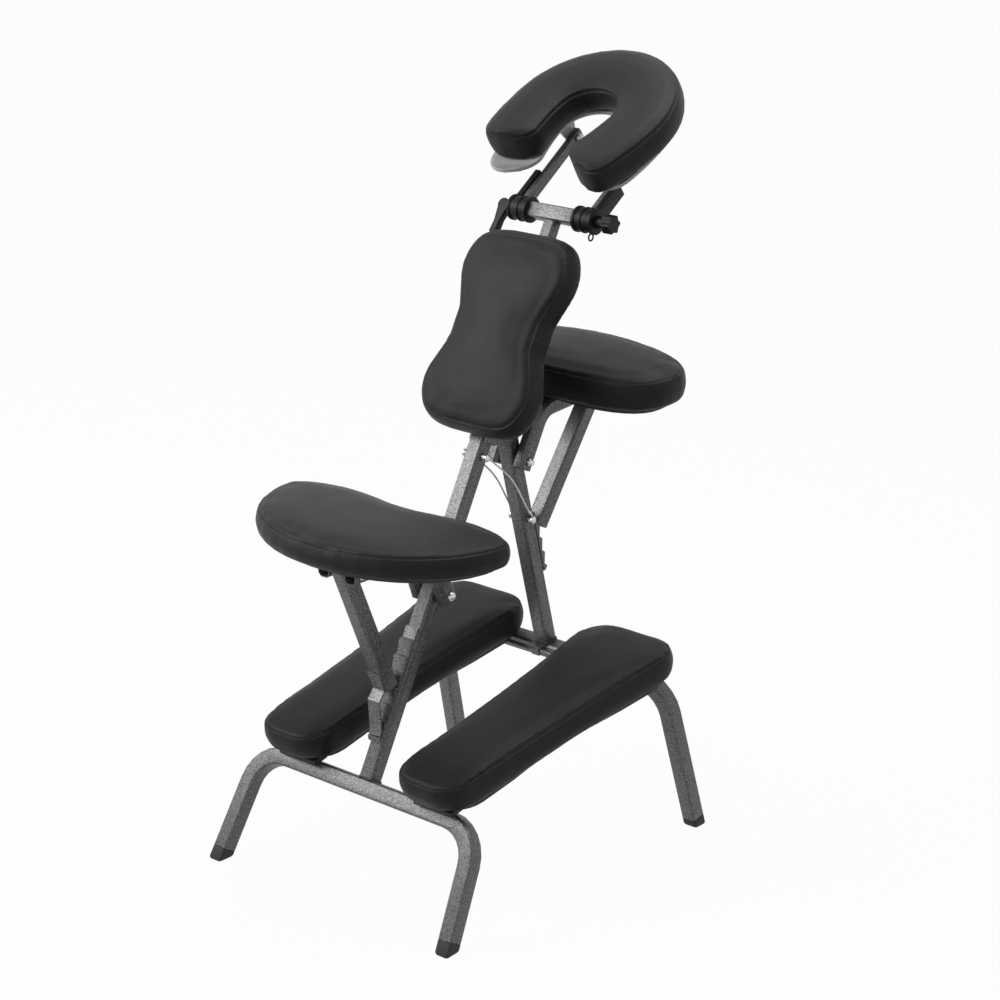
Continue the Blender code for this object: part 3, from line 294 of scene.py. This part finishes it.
def dressed(node, body, finish, edge=0.0005):
    """The finished look of a rigid piece: facets joined, edges broken, rounds smooth."""
    bm = bmesh.new()
    bm.from_mesh(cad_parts[node].data)
    bmesh.ops.remove_doubles(bm, verts=bm.verts, dist=1e-5)
    bmesh.ops.dissolve_limit(bm, angle_limit=math.radians(0.6), verts=bm.verts, edges=bm.edges)
    bmesh.ops.recalc_face_normals(bm, faces=bm.faces)
    hard = [e for e in bm.edges
            if len(e.link_faces) == 2 and e.calc_face_angle() > math.radians(40.0)
            and e.calc_length() > 2.5 * edge]
    bmesh.ops.bevel(bm, geom=hard, offset=edge, segments=2, profile=0.6, affect="EDGES",
                    clamp_overlap=True)
    piece = from_bmesh(node + "_finished", bm, finish, 32.0)
    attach(piece, body)
    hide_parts(node)


for node, body in (("rear_leg_bow", "rear_frame"), ("spine_tube", "rear_frame"), ("seat_rack", "rear_frame"),
                   ("front_leg_bow", "front_frame"), ("front_post", "front_frame"),
                   ("armrest_rack", "front_frame"), ("seat_bearer_left", "seat"),
                   ("seat_bearer_right", "seat"), ("seat_strut", "seat_prop"),
                   ("seat_strut_hook", "seat_prop"), ("armrest_bearer_left", "armrest"),
                   ("armrest_bearer_right", "armrest"), ("armrest_strut", "armrest_prop"),
                   ("chest_sleeve", "chest_rest"), ("cradle_bar", "head_post"),
                   ("cradle_arm_left", "cradle_arms"), ("cradle_arm_right", "cradle_arms"),
                   ("head_post_tube", "head_post"), ("knee_hinge_rod", "front_frame"),
                   ("knee_hinge_left", "knee_pad_left"), ("knee_hinge_right", "knee_pad_right")):
    dressed(node, body, hammertone)

# Feet and stops: moulded black rubber tips pressed into the open leg ends, and the blocks
# under the knee pads that land on the rear leg bar.
rubber, tree, shader, where = surface("moulded_black_rubber")
bloom = put(tree, "ShaderNodeTexNoise", None, {"Vector": where, "Scale": 1.0 / 0.007, "Detail": 4.0})
tone = put(tree, "ShaderNodeMix", {"data_type": "RGBA"},
           {0: bloom.outputs[0], 6: ink("#111112"), 7: ink("#232325")})
tree.links.new(tone.outputs[2], shader.inputs["Base Color"])
grit = put(tree, "ShaderNodeTexNoise", None, {"Vector": where, "Scale": 1.0 / 0.0006})
pores = put(tree, "ShaderNodeBump", None,
            {"Strength": 0.2, "Distance": 0.0002, "Height": grit.outputs[0]})
tree.links.new(pores.outputs[0], shader.inputs["Normal"])
shader.inputs["Roughness"].default_value = 0.72
for node, body in (("rear_foot_left", "rear_frame"), ("rear_foot_right", "rear_frame"),
                   ("front_foot_left", "front_frame"), ("front_foot_right", "front_frame"),
                   ("knee_buffer_left", "knee_pad_left"), ("knee_buffer_right", "knee_pad_right")):
    dressed(node, body, rubber, 0.0012)

# Bolts: zinc-plated steel with domed nuts and washers, run through the drilled tubes and
# left loose enough to turn; bright and slightly streaked by handling.
zinc, tree, shader, where = surface("zinc_plated_steel")
spangle = put(tree, "ShaderNodeTexNoise", None, {"Vector": where, "Scale": 1.0 / 0.005, "Detail": 5.0})
tone = put(tree, "ShaderNodeMix", {"data_type": "RGBA"},
           {0: spangle.outputs[0], 6: ink("#A9ABAE"), 7: ink("#D6D8DA")})
tree.links.new(tone.outputs[2], shader.inputs["Base Color"])
shader.inputs["Metallic"].default_value = 1.0
dull = put(tree, "ShaderNodeMapRange", None,
           {"Value": spangle.outputs[0], "To Min": 0.22, "To Max": 0.42})
tree.links.new(dull.outputs[0], shader.inputs["Roughness"])
for node, body in (("main_hinge_bolt", "rear_frame"), ("spine_cable_bolt", "rear_frame"),
                   ("post_cable_bolt", "front_frame"), ("seat_pivot_bolt", "seat"),
                   ("seat_strut_bolt", "seat"),
                   ("armrest_pivot_bolt", "armrest"), ("armrest_strut_bolt", "armrest"),
                   ("cradle_pivot_bolt_left", "face_rest"), ("cradle_pivot_bolt_right", "face_rest")):
    dressed(node, body, zinc, 0.0003)

# Hand parts: the collar, knobs, cam lever and cradle clamps, injection moulded in black
# nylon with a fine spark-eroded texture.
nylon, tree, shader, where = surface("moulded_black_nylon")
spark = put(tree, "ShaderNodeTexNoise", None, {"Vector": where, "Scale": 1.0 / 0.0009, "Detail": 2.0})
tone = put(tree, "ShaderNodeMix", {"data_type": "RGBA"},
           {0: spark.outputs[0], 6: ink("#0E0E0F"), 7: ink("#1D1D1F")})
tree.links.new(tone.outputs[2], shader.inputs["Base Color"])
shader.inputs["Roughness"].default_value = 0.5
shader.inputs["Specular IOR Level"].default_value = 0.2
skin_bump = put(tree, "ShaderNodeBump", None,
                {"Strength": 0.18, "Distance": 0.0002, "Height": spark.outputs[0]})
tree.links.new(skin_bump.outputs[0], shader.inputs["Normal"])
for node, body in (("spine_collar", "rear_frame"), ("collar_knob", "collar_clamp_knob"),
                   ("chest_knob", "chest_clamp_knob"), ("cam_lever", "cam_lever"),
                   ("star_knob", "star_knob"), ("cradle_clamp_left", "cradle_arms"),
                   ("cradle_clamp_right", "cradle_arms"), ("cradle_axle", "head_post")):
    dressed(node, body, nylon, 0.0012)

# Clamp lips: each nylon clamp drum is moulded with three raised rings round it, at both ends
# and the middle, and the right one with a small eye below.
BAR_AXIS = Vector((0.0, 0.18619, 1.02330))
DRUM, LIP_EDGE, LIP = 0.0193, 0.0205, 0.0214
LIP_BREAK = 0.0008
EYE_RING, EYE_WIRE = 0.0056, 0.0014
for side, word in ((-1.0, "left"), (1.0, "right")):
    lips = bmesh.new()
    for low, high in ((0.0480, 0.0535), (0.0640, 0.0675), (0.0815, 0.0872)):
        rings = []
        for x, r in ((low, DRUM), (low, LIP_EDGE), (low + LIP_BREAK, LIP), (high - LIP_BREAK, LIP),
                     (high, LIP_EDGE), (high, DRUM)):
            rings.append([BAR_AXIS + Vector((side * x, 0.0, 0.0))
                          + (SPINE_UP * math.cos(a) + SPINE_OUT * math.sin(a)) * r
                          for a in [2.0 * math.pi * k / 48 for k in range(48)]])
        rows = [[lips.verts.new(p) for p in ring] for ring in rings + rings[:1]]
        for near, far in zip(rows, rows[1:]):
            for i in range(48):
                j = (i + 1) % 48
                lips.faces.new((near[i], near[j], far[j], far[i]))
    if side > 0.0:
        eye = BAR_AXIS + Vector((0.0846, 0.0, 0.0)) - SPINE_UP * 0.0262
        hoops = []
        for k in range(25):
            a = 2.0 * math.pi * k / 24
            out = SPINE_UP * math.cos(a) + SPINE_OUT * math.sin(a)
            hoops.append([eye + out * (EYE_RING + EYE_WIRE * math.cos(b))
                          + Vector((EYE_WIRE * math.sin(b), 0.0, 0.0))
                          for b in [2.0 * math.pi * m / 12 for m in range(12)]])
        skin(lips, hoops, False)
    bmesh.ops.remove_doubles(lips, verts=lips.verts, dist=1e-6)
    lip = from_bmesh("clamp_lips_" + word, lips, nylon, 45.0)
    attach(lip, "cradle_arms")

# Boards: 8 mm plywood sawn to the outline of each cushion and dyed black where it shows;
# the cover is stapled to it from below.
board, tree, shader, where = surface("black_dyed_plywood")
stretch = put(tree, "ShaderNodeMapping", None, {"Vector": where, "Scale": (1.0, 0.06, 1.0)})
grain = put(tree, "ShaderNodeTexNoise", None,
            {"Vector": stretch.outputs[0], "Scale": 1.0 / 0.0022, "Detail": 4.0})
tone = put(tree, "ShaderNodeMix", {"data_type": "RGBA"},
           {0: grain.outputs[0], 6: ink("#141312"), 7: ink("#2C2925")})
tree.links.new(tone.outputs[2], shader.inputs["Base Color"])
shader.inputs["Roughness"].default_value = 0.66
fibre = put(tree, "ShaderNodeBump", None,
            {"Strength": 0.25, "Distance": 0.0003, "Height": grain.outputs[0]})
tree.links.new(fibre.outputs[0], shader.inputs["Normal"])
for node, body in (("seat_board", "seat"), ("armrest_board", "armrest"), ("chest_board", "chest_rest"),
                   ("knee_board_left", "knee_pad_left"), ("knee_board_right", "knee_pad_right")):
    dressed(node, body, board, 0.0008)

# Seat cushion: foam on the board under soft black vinyl, a crowned top panel sewn to a
# boxing band; the seam pulls in all round and puckers a little where the band turns.
vinyl, tree, shader, where = surface("soft_black_vinyl")
# Embossed leather grain about 1.3 mm across, coarser than life so that it shows, over slow
# hand-sized changes of gloss. The grain's creases are painted darker than its flats: painted shade in the
# creases.
grain = put(tree, "ShaderNodeTexVoronoi", {"feature": "DISTANCE_TO_EDGE"},
            {"Vector": where, "Scale": 1.0 / 0.0013})
crease = put(tree, "ShaderNodeMapRange", None,
             {"Value": grain.outputs["Distance"], "From Max": 0.16, "To Max": 1.0})
slow = put(tree, "ShaderNodeTexNoise", None, {"Vector": where, "Scale": 1.0 / 0.045, "Detail": 3.0})
# Painted shade: the creases of the grain take the darker colour and the flats the lighter one.
tone = put(tree, "ShaderNodeMix", {"data_type": "RGBA"},
           {0: crease.outputs[0], 6: ink("#0A0A0B"), 7: ink("#161617")})
tree.links.new(tone.outputs[2], shader.inputs["Base Color"])
gloss = put(tree, "ShaderNodeMapRange", None,
            {"Value": slow.outputs[0], "To Min": 0.46, "To Max": 0.58})
tree.links.new(gloss.outputs[0], shader.inputs["Roughness"])
fine = put(tree, "ShaderNodeBump", None,
           {"Strength": 0.16, "Distance": 0.0003, "Height": crease.outputs[0]})
broad = put(tree, "ShaderNodeBump", None,
            {"Strength": 0.10, "Distance": 0.002, "Height": slow.outputs[0],
             "Normal": fine.outputs[0]})
tree.links.new(broad.outputs[0], shader.inputs["Normal"])
shader.inputs["Specular IOR Level"].default_value = 0.17
shader.inputs["Sheen Weight"].default_value = 0.05
shader.inputs["Sheen Roughness"].default_value = 0.5


SWELL_LIMIT = 0.005
SEAM_ALLOWANCE = 0.0012


def stuffed(node, up, seam, wrinkle=0.0003, pattern=None):
    """Sew and stuff a cushion: a slightly smaller cover filled by air pressure, then its seam.

    up is the way the cushion faces, seam the height of its top seam over the board, and
    pattern a rounder cut of the cover where the solid is too plain.
    """
    bm = pattern or bmesh.new()
    if pattern is None:
        bm.from_mesh(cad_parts[node].data)
    bmesh.ops.remove_doubles(bm, verts=bm.verts, dist=1e-5)
    bmesh.ops.recalc_face_normals(bm, faces=bm.faces)
    bm.normal_update()
    base = min(v.co.dot(up) for v in bm.verts)
    for vert in bm.verts:
        if vert.co.dot(up) - base > 0.002:
            vert.co -= vert.normal * SEAM_ALLOWANCE
    mesh = bpy.data.meshes.new(node)
    bm.to_mesh(mesh)
    bm.free()
    cover = bpy.data.objects.new(node + "_cover", mesh)
    scene.collection.objects.link(cover)
    remesh = cover.modifiers.new("weave", "REMESH")
    remesh.mode = "VOXEL"
    remesh.voxel_size = 0.0045
    deps = bpy.context.evaluated_depsgraph_get()
    cover_mesh = bpy.data.meshes.new_from_object(cover.evaluated_get(deps))
    cover.modifiers.clear()
    cover.data = cover_mesh
    start = [v.co.copy() for v in cover_mesh.vertices]
    pinned = cover.vertex_groups.new(name="stapled")
    pinned.add([i for i, p in enumerate(start) if p.dot(up) - base < 0.0035], 1.0, "REPLACE")
    cloth = cover.modifiers.new("filling", "CLOTH")
    cloth.settings.quality = 5
    cloth.settings.use_pressure = True
    cloth.settings.uniform_pressure_force = 4.0
    cloth.settings.tension_stiffness = 60.0
    cloth.settings.compression_stiffness = 60.0
    cloth.settings.shear_stiffness = 30.0
    cloth.settings.bending_stiffness = 12.0
    cloth.settings.effector_weights.gravity = 0.0
    cloth.settings.vertex_group_mass = "stapled"
    cloth.point_cache.frame_start = 1
    cloth.point_cache.frame_end = 20
    for step in range(1, 21):
        scene.frame_set(step)
    deps = bpy.context.evaluated_depsgraph_get()
    filled = bpy.data.meshes.new_from_object(cover.evaluated_get(deps))
    cover.modifiers.clear()
    swell = np.array([v.co for v in filled.vertices]) - np.array(start)
    far = np.linalg.norm(swell, axis=1)
    swell *= (np.minimum(far, SWELL_LIMIT) / np.maximum(far, 1e-9))[:, None]
    pairs = np.array([tuple(e.vertices) for e in filled.edges])
    count = np.bincount(pairs.ravel(), minlength=len(swell))[:, None]
    for step in range(14):
        total = np.zeros_like(swell)
        np.add.at(total, pairs[:, 0], swell[pairs[:, 1]])
        np.add.at(total, pairs[:, 1], swell[pairs[:, 0]])
        swell = 0.4 * swell + 0.6 * total / np.maximum(count, 1)
    for vert, rest, move in zip(filled.vertices, start, swell):
        vert.co = rest + Vector(move)
    cover.data = filled
    scene.frame_set(1)
    smooth = cover.modifiers.new("settle", "SMOOTH")
    smooth.factor = 0.5
    smooth.iterations = 3
    finer = cover.modifiers.new("finer", "SUBSURF")
    finer.levels = 1
    finer.render_levels = 1
    deps = bpy.context.evaluated_depsgraph_get()
    done = bpy.data.meshes.new_from_object(cover.evaluated_get(deps))
    bpy.data.objects.remove(cover, do_unlink=True)
    bm = bmesh.new()
    bm.from_mesh(done)
    close = [e for e in bm.edges if all(abs(v.co.dot(up) - base - seam) < 0.0055 for v in e.verts)]
    bmesh.ops.subdivide_edges(bm, edges=close, cuts=1, use_grid_fill=True)
    bm.to_mesh(done)
    bm.free()
    normals = [v.normal.copy() for v in done.vertices]
    for vert, out in zip(done.vertices, normals):
        above = vert.co.dot(up) - base - seam
        pull = 0.0024 * math.exp(-(above / 0.0014) ** 2)
        pull -= 0.0007 * math.exp(-((above - 0.0036) / 0.0018) ** 2)
        pucker = noise.noise(vert.co * 60.0) + 0.4 * noise.noise(vert.co * 140.0)
        pull += wrinkle * pucker * math.exp(-(above / 0.007) ** 2)
        vert.co -= out * pull
    for face in done.polygons:
        face.use_smooth = True
    return new_piece(node + "_upholstered", done, vinyl), base


def touch(cushion):
    """The cushion's surface, ready to be met by rays."""
    mesh = cushion.data
    return BVHTree.FromPolygons([v.co for v in mesh.vertices], [tuple(p.vertices) for p in mesh.polygons])


def seam_path(cushion, up, base, height, centre):
    """The line of a seam: where a level cut round the cushion meets its surface."""
    cover = touch(cushion)
    steps = 260
    side = Vector((1.0, 0.0, 0.0))
    ahead = up.cross(side).normalized()
    middle = centre - up * (centre.dot(up) - base - height)
    found = []
    for k in range(steps):
        angle = 2.0 * math.pi * k / steps
        out = side * math.cos(angle) + ahead * math.sin(angle)
        hit = cover.ray_cast(middle + out * 0.8, -out)
        if hit[0] is not None:
            found.append((hit[0], hit[1]))
    return found


thread, tree, shader, where = surface("bonded_black_thread")
twist = put(tree, "ShaderNodeTexWave", None, {"Vector": where, "Scale": 1.0 / 0.0008})
tone = put(tree, "ShaderNodeMix", {"data_type": "RGBA"},
           {0: twist.outputs[0], 6: ink("#0C0C0D"), 7: ink("#2A2A2C")})
tree.links.new(tone.outputs[2], shader.inputs["Base Color"])
shader.inputs["Roughness"].default_value = 0.6

stitching = bpy.data.node_groups.new("seam_stitches", "GeometryNodeTree")
stitching.interface.new_socket("Geometry", in_out="INPUT", socket_type="NodeSocketGeometry")
pitch_socket = stitching.interface.new_socket("Pitch", in_out="INPUT", socket_type="NodeSocketFloat")
thick_socket = stitching.interface.new_socket("Thread", in_out="INPUT", socket_type="NodeSocketFloat")
stitching.interface.new_socket("Geometry", in_out="OUTPUT", socket_type="NodeSocketGeometry")
given = put(stitching, "NodeGroupInput")
curve = put(stitching, "GeometryNodeMeshToCurve", None, {0: given.outputs[0]})
even = put(stitching, "GeometryNodeResampleCurve", {"mode": "LENGTH"},
           {"Curve": curve.outputs[0], "Length": given.outputs["Pitch"]})
along = put(stitching, "GeometryNodeInputTangent")
aim = put(stitching, "FunctionNodeAlignEulerToVector", {"axis": "Z"}, {"Vector": along.outputs[0]})
long_way = put(stitching, "ShaderNodeMath", {"operation": "MULTIPLY"}, {0: given.outputs["Pitch"], 1: 0.40})
lump = put(stitching, "GeometryNodeMeshIcoSphere", None, {"Radius": 1.0, "Subdivisions": 2})
shape = put(stitching, "ShaderNodeCombineXYZ", None,
            {0: given.outputs["Thread"], 1: given.outputs["Thread"], 2: long_way.outputs[0]})
single = put(stitching, "GeometryNodeTransform", None,
             {"Geometry": lump.outputs[0], "Scale": shape.outputs[0]})
spread = put(stitching, "GeometryNodeInstanceOnPoints", None,
             {"Points": even.outputs[0], "Instance": single.outputs[0], "Rotation": aim.outputs[0]})
solid = put(stitching, "GeometryNodeRealizeInstances", None, {0: spread.outputs[0]})
colour = put(stitching, "GeometryNodeSetMaterial", None, {"Geometry": solid.outputs[0], "Material": thread})
put(stitching, "NodeGroupOutput", None, {0: colour.outputs[0]})


def sewn(name, body, path, finish, pitch=0.0036, girth=0.0005, closed=True, sink=0.0):
    """Stitches of a given pitch laid along a path by the stitching tree, as one plain mesh."""
    mesh = bpy.data.meshes.new(name)
    edges = [(i, i + 1) for i in range(len(path) - 1)]
    if closed:
        edges.append((len(path) - 1, 0))
    mesh.from_pydata([p - n * sink for p, n in path], edges, [])
    guide = bpy.data.objects.new(name + "_guide", mesh)
    scene.collection.objects.link(guide)
    maker = guide.modifiers.new("stitches", "NODES")
    maker.node_group = stitching
    maker[pitch_socket.identifier] = pitch
    maker[thick_socket.identifier] = girth
    deps = bpy.context.evaluated_depsgraph_get()
    done = bpy.data.meshes.new_from_object(guide.evaluated_get(deps))
    bpy.data.objects.remove(guide, do_unlink=True)
    for face in done.polygons:
        face.use_smooth = True
    piece = new_piece(name, done, finish)
    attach(piece, body)


def upholster(node, body, up, seam):
    """A stuffed cushion with its sewn top seam, riding on its body."""
    cushion, base = stuffed(node, up, seam)
    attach(cushion, body)
    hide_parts(node)
    low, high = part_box(node)
    path = seam_path(cushion, up, base, seam, (low + high) / 2.0)
    sewn(node + "_seam", body, path, thread)
    return cushion


def band_join(name, body, cushion, up, spot, low, high):
    """The upright seam where the ends of a boxing band meet, between two heights beside spot."""
    cover = touch(cushion)
    near = cover.find_nearest(spot)
    out = (near[1] - up * near[1].dot(up)).normalized()
    path = []
    for k in range(25):
        level = low + (high - low) * k / 24.0
        point = near[0] + up * (level - near[0].dot(up))
        hit = cover.ray_cast(point + out * 0.04, -out)
        if hit[0] is not None:
            path.append((hit[0], hit[1]))
    sewn(name, body, path, thread, 0.0030, 0.00045, False, 0.0001)


upholster("seat_cushion", "seat", Vector((0.0, 0.0, 1.0)), 0.038)

# Weld beads: a run of small overlapping ripples round the foot of the spine and of the post,
# where each stands on its leg bar; they lie under the same coat.
POST_UP = Vector((0.0, -0.25472, 0.96702))
POST_OUT = Vector((0.0, 0.96702, 0.25472))
SPINE_WELD = Vector((0.0, -0.36646, 0.0)) + SPINE_UP * 0.2066
POST_WELD = Vector((0.0, 0.24477, 0.0)) + POST_UP * 0.2990
BEAD_REACH = 0.0143
for name, body, foot, over, out in (("spine_foot_weld", "rear_frame", SPINE_WELD, SPINE_UP, SPINE_OUT),
                                    ("post_foot_weld", "front_frame", POST_WELD, POST_UP, POST_OUT)):
    corners = [Vector((x, 0.0, 0.0)) + out * n
               for x, n in ((-1.0, -0.8), (-0.8, -1.0), (0.8, -1.0), (1.0, -0.8), (1.0, 0.8), (0.8, 1.0),
                            (-0.8, 1.0), (-1.0, 0.8))]
    bead = []
    for p, q in zip(corners, corners[1:] + corners[:1]):
        bead += [(foot + p.lerp(q, k / 6.0) * BEAD_REACH, over) for k in range(6)]
    sewn(name, body, bead, hammertone, 0.0022, 0.0019)

# Knee rests: two long foam pads on plywood boards under the same sewn vinyl. Each is screwed to
# a hinge leaf on the front rod, and its rubber block rests on the rear leg bar.
PAD_UP = Vector((0.0, -math.sin(math.radians(11.8)), math.cos(math.radians(11.8))))
for word, spot in (("left", Vector((-0.1450, -0.3270, 0.2250))),
                   ("right", Vector((0.1720, -0.3274, 0.2310)))):
    pad = upholster("knee_cushion_" + word, "knee_pad_" + word, PAD_UP, 0.044)
    level = spot.dot(PAD_UP)
    band_join("knee_band_join_" + word, "knee_pad_" + word, pad, PAD_UP, spot,
              level - 0.017, level + 0.020)

# Armrest: a half-moon foam pad on a plywood board under sewn vinyl, screwed to a steel bearer
# that tips up on the post and stands on its own strut.
ARM_UP = Vector((0.0, -math.sin(math.radians(4.0)), math.cos(math.radians(4.0))))
upholster("armrest_cushion", "armrest", ARM_UP, 0.050)

# Chest rest: an hourglass foam pad on a plywood board under sewn vinyl, whose band flares
# towards the back; its bracket slides on the spine and a hand knob holds it.
chest = upholster("chest_cushion", "chest_rest", -SPINE_OUT, 0.040)
for side, word in ((-1.0, "left"), (1.0, "right")):
    spot = Vector((0.006 + side * 0.0910, 0.0345, 0.8583))
    level = spot.dot(-SPINE_OUT)
    band_join("chest_band_join_" + word, "chest_rest", chest, -SPINE_OUT, spot, level - 0.016, level + 0.018)

# Face rest: a horseshoe cushion on a smoke-grey moulded platform, held by hook-and-loop tape
# so that it sits a little turned; the lobes close in sewn ends.
smoke, tree, shader, where = surface("smoke_grey_polycarbonate")
haze = put(tree, "ShaderNodeTexNoise", None, {"Vector": where, "Scale": 1.0 / 0.02, "Detail": 3.0})
tone = put(tree, "ShaderNodeMix", {"data_type": "RGBA"},
           {0: haze.outputs[0], 6: ink("#B2B4B5"), 7: ink("#C6C8C9")})
tree.links.new(tone.outputs[2], shader.inputs["Base Color"])
shader.inputs["Roughness"].default_value = 0.36
shader.inputs["IOR"].default_value = 1.58
shader.inputs["Transmission Weight"].default_value = 0.25

FACE_TILT = math.radians(31.0)
FACE_UP = Vector((0.0, -math.sin(FACE_TILT), math.cos(FACE_TILT)))
FACE_ALONG = Vector((0.0, math.cos(FACE_TILT), math.sin(FACE_TILT)))
CRADLE_PIVOT = Vector((0.0, 0.32421, 1.12030))
FACE_HALF_WIDTH = 0.056
ARCH_HALF, ARCH_RISE = 0.106, 0.098
LOBE_LENGTH, LOBE_TOE_IN = 0.112, 0.020
PLATE_ABOVE_PIVOT, PLATE_BEHIND_PIVOT = 0.041, 0.031
middle = []
for k in range(24):
    back = 1.0 - k / 24.0
    middle.append(Vector((ARCH_HALF - LOBE_TOE_IN * back ** 2, -LOBE_LENGTH * back)))
for k in range(49):
    part = math.pi * k / 48
    middle.append(Vector((ARCH_HALF * math.cos(part), ARCH_RISE * math.sin(part))))
middle += [Vector((-p.x, p.y)) for p in middle[23::-1]]
last = len(middle) - 1
walk = [0.0]
for p, q in zip(middle, middle[1:]):
    walk.append(walk[-1] + (q - p).length)


def horseshoe(section, rounding, shift, twist):
    """Carry a section of (share of width, height) round the horseshoe, with rounded lobe ends."""
    cos, sin = math.cos(twist), math.sin(twist)
    rings = []
    for i, point in enumerate(middle):
        ahead = (middle[min(i + 1, last)] - middle[max(i - 1, 0)]).normalized()
        out = Vector((ahead.y, -ahead.x))
        left = min(walk[i], walk[last] - walk[i], rounding) / rounding
        taper = max(0.30, (1.0 - (1.0 - left) ** 2.6) ** (1.0 / 2.6))
        ring = []
        for u, h in section:
            flat = point + out * (FACE_HALF_WIDTH * taper * u)
            place = CRADLE_PIVOT + FACE_UP * (PLATE_ABOVE_PIVOT + h)
            place += Vector((flat.x * cos - flat.y * sin + shift, 0.0, 0.0))
            ring.append(place + FACE_ALONG * (flat.x * sin + flat.y * cos - PLATE_BEHIND_PIVOT))
        rings.append(ring)
    return rings


# The platform is one moulding: a plate with a rolled rim and two lugs for the tilt bolts.
rim_section = [(-0.80, 0.0), (0.80, 0.0), (0.85, 0.0012), (0.87, 0.0042), (0.85, 0.0072), (0.80, 0.008),
               (0.72, 0.0066), (-0.72, 0.0066), (-0.80, 0.008), (-0.85, 0.0072), (-0.87, 0.0042),
               (-0.85, 0.0012)]
plate = skin(bmesh.new(), horseshoe(rim_section, 0.040, 0.0, 0.0))
LUG = 0.011
for side in (-1.0, 1.0):
    outline = [(-0.024, 0.0412), (0.024, 0.0412)]
    for k in range(17):
        angle = math.radians(-10.0 - 10.0 * k)
        outline.append((LUG * math.cos(angle), LUG * math.sin(angle)))
    rings = []
    for inset, x in ((0.06, 0.0773), (0.0, 0.0781), (0.0, 0.0825), (0.06, 0.0833)):
        lug = CRADLE_PIVOT + Vector((side * x, 0.0, 0.0))
        rings.append([lug + FACE_ALONG * (a * (1.0 - inset)) + FACE_UP * b for a, b in outline])
    skin(plate, rings)
platform = from_bmesh("cradle_platform_moulded", plate, smoke, 40.0)
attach(platform, "face_rest")
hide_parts("cradle_platform")

foot, seam, dome = 0.0083, 0.0543, 0.0703
FACE_SEAM = 0.046
FACE_TWIST = math.radians(-11.0)
FACE_SHIFT = 0.013
LOBE_ROUNDING = 0.034
cover_section = [(-0.72, foot), (0.72, foot), (0.93, foot + 0.006), (1.0, foot + 0.023),
                 (0.985, seam - 0.006), (0.95, seam), (0.86, seam + 0.007), (0.62, dome - 0.003),
                 (0.22, dome), (-0.22, dome - 0.001), (-0.62, dome - 0.005), (-0.86, seam + 0.005),
                 (-0.95, seam), (-1.0, foot + 0.023), (-0.93, foot + 0.006)]
pattern = skin(bmesh.new(), horseshoe(cover_section, LOBE_ROUNDING, FACE_SHIFT, FACE_TWIST))
cushion, base = stuffed("face_cushion", FACE_UP, FACE_SEAM, wrinkle=0.0007, pattern=pattern)
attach(cushion, "face_rest")
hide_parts("face_cushion")

# The seam runs round the outside, the lobe ends and the inside of the horseshoe.
turned = [ring[0] for ring in horseshoe([(0.0, foot)], LOBE_ROUNDING, FACE_SHIFT, FACE_TWIST)]
cover = touch(cushion)


def face_seam(height):
    """The closed line of a seam round the horseshoe at one height over the cushion's foot.

    Each ray stops at the middle line, so that one that misses a lobe end finds nothing.
    """
    outer, inner = [], []
    for i, point in enumerate(turned):
        ahead = (turned[min(i + 1, last)] - turned[max(i - 1, 0)]).normalized()
        out = ahead.cross(FACE_UP).normalized()
        point = point + FACE_UP * height
        outer.append(cover.ray_cast(point + out * 0.12, -out, 0.12)[:2])
        inner.append(cover.ray_cast(point - out * 0.074, out, 0.074)[:2])
    caps = []
    for i, way in ((last, 1.0), (0, -1.0)):
        ahead = (turned[min(i + 1, last)] - turned[max(i - 1, 0)]).normalized()
        out = ahead.cross(FACE_UP).normalized()
        cap = []
        for k in range(1, 16):
            angle = math.pi * k / 16.0
            ray = out * (way * math.cos(angle)) + ahead * (way * math.sin(angle))
            cap.append(cover.ray_cast(turned[i] + FACE_UP * height + ray * 0.10, -ray, 0.10)[:2])
        caps.append(cap)
    run = outer + caps[0] + inner[::-1] + caps[1]
    return [(p, n) for p, n in run if p is not None]


sewn("face_cushion_seam", "face_rest", face_seam(FACE_SEAM), thread)
for name, spot in (("face_band_join_near", Vector((0.1650, 0.2740, 1.2020))),
                   ("face_band_join_far", Vector((0.1450, 0.3300, 1.2150)))):
    band_join(name, "face_rest", cushion, FACE_UP, spot, base + 0.004, base + FACE_SEAM - 0.001)

size = {"cad": cad_box, "visual": [list(corner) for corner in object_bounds()]}
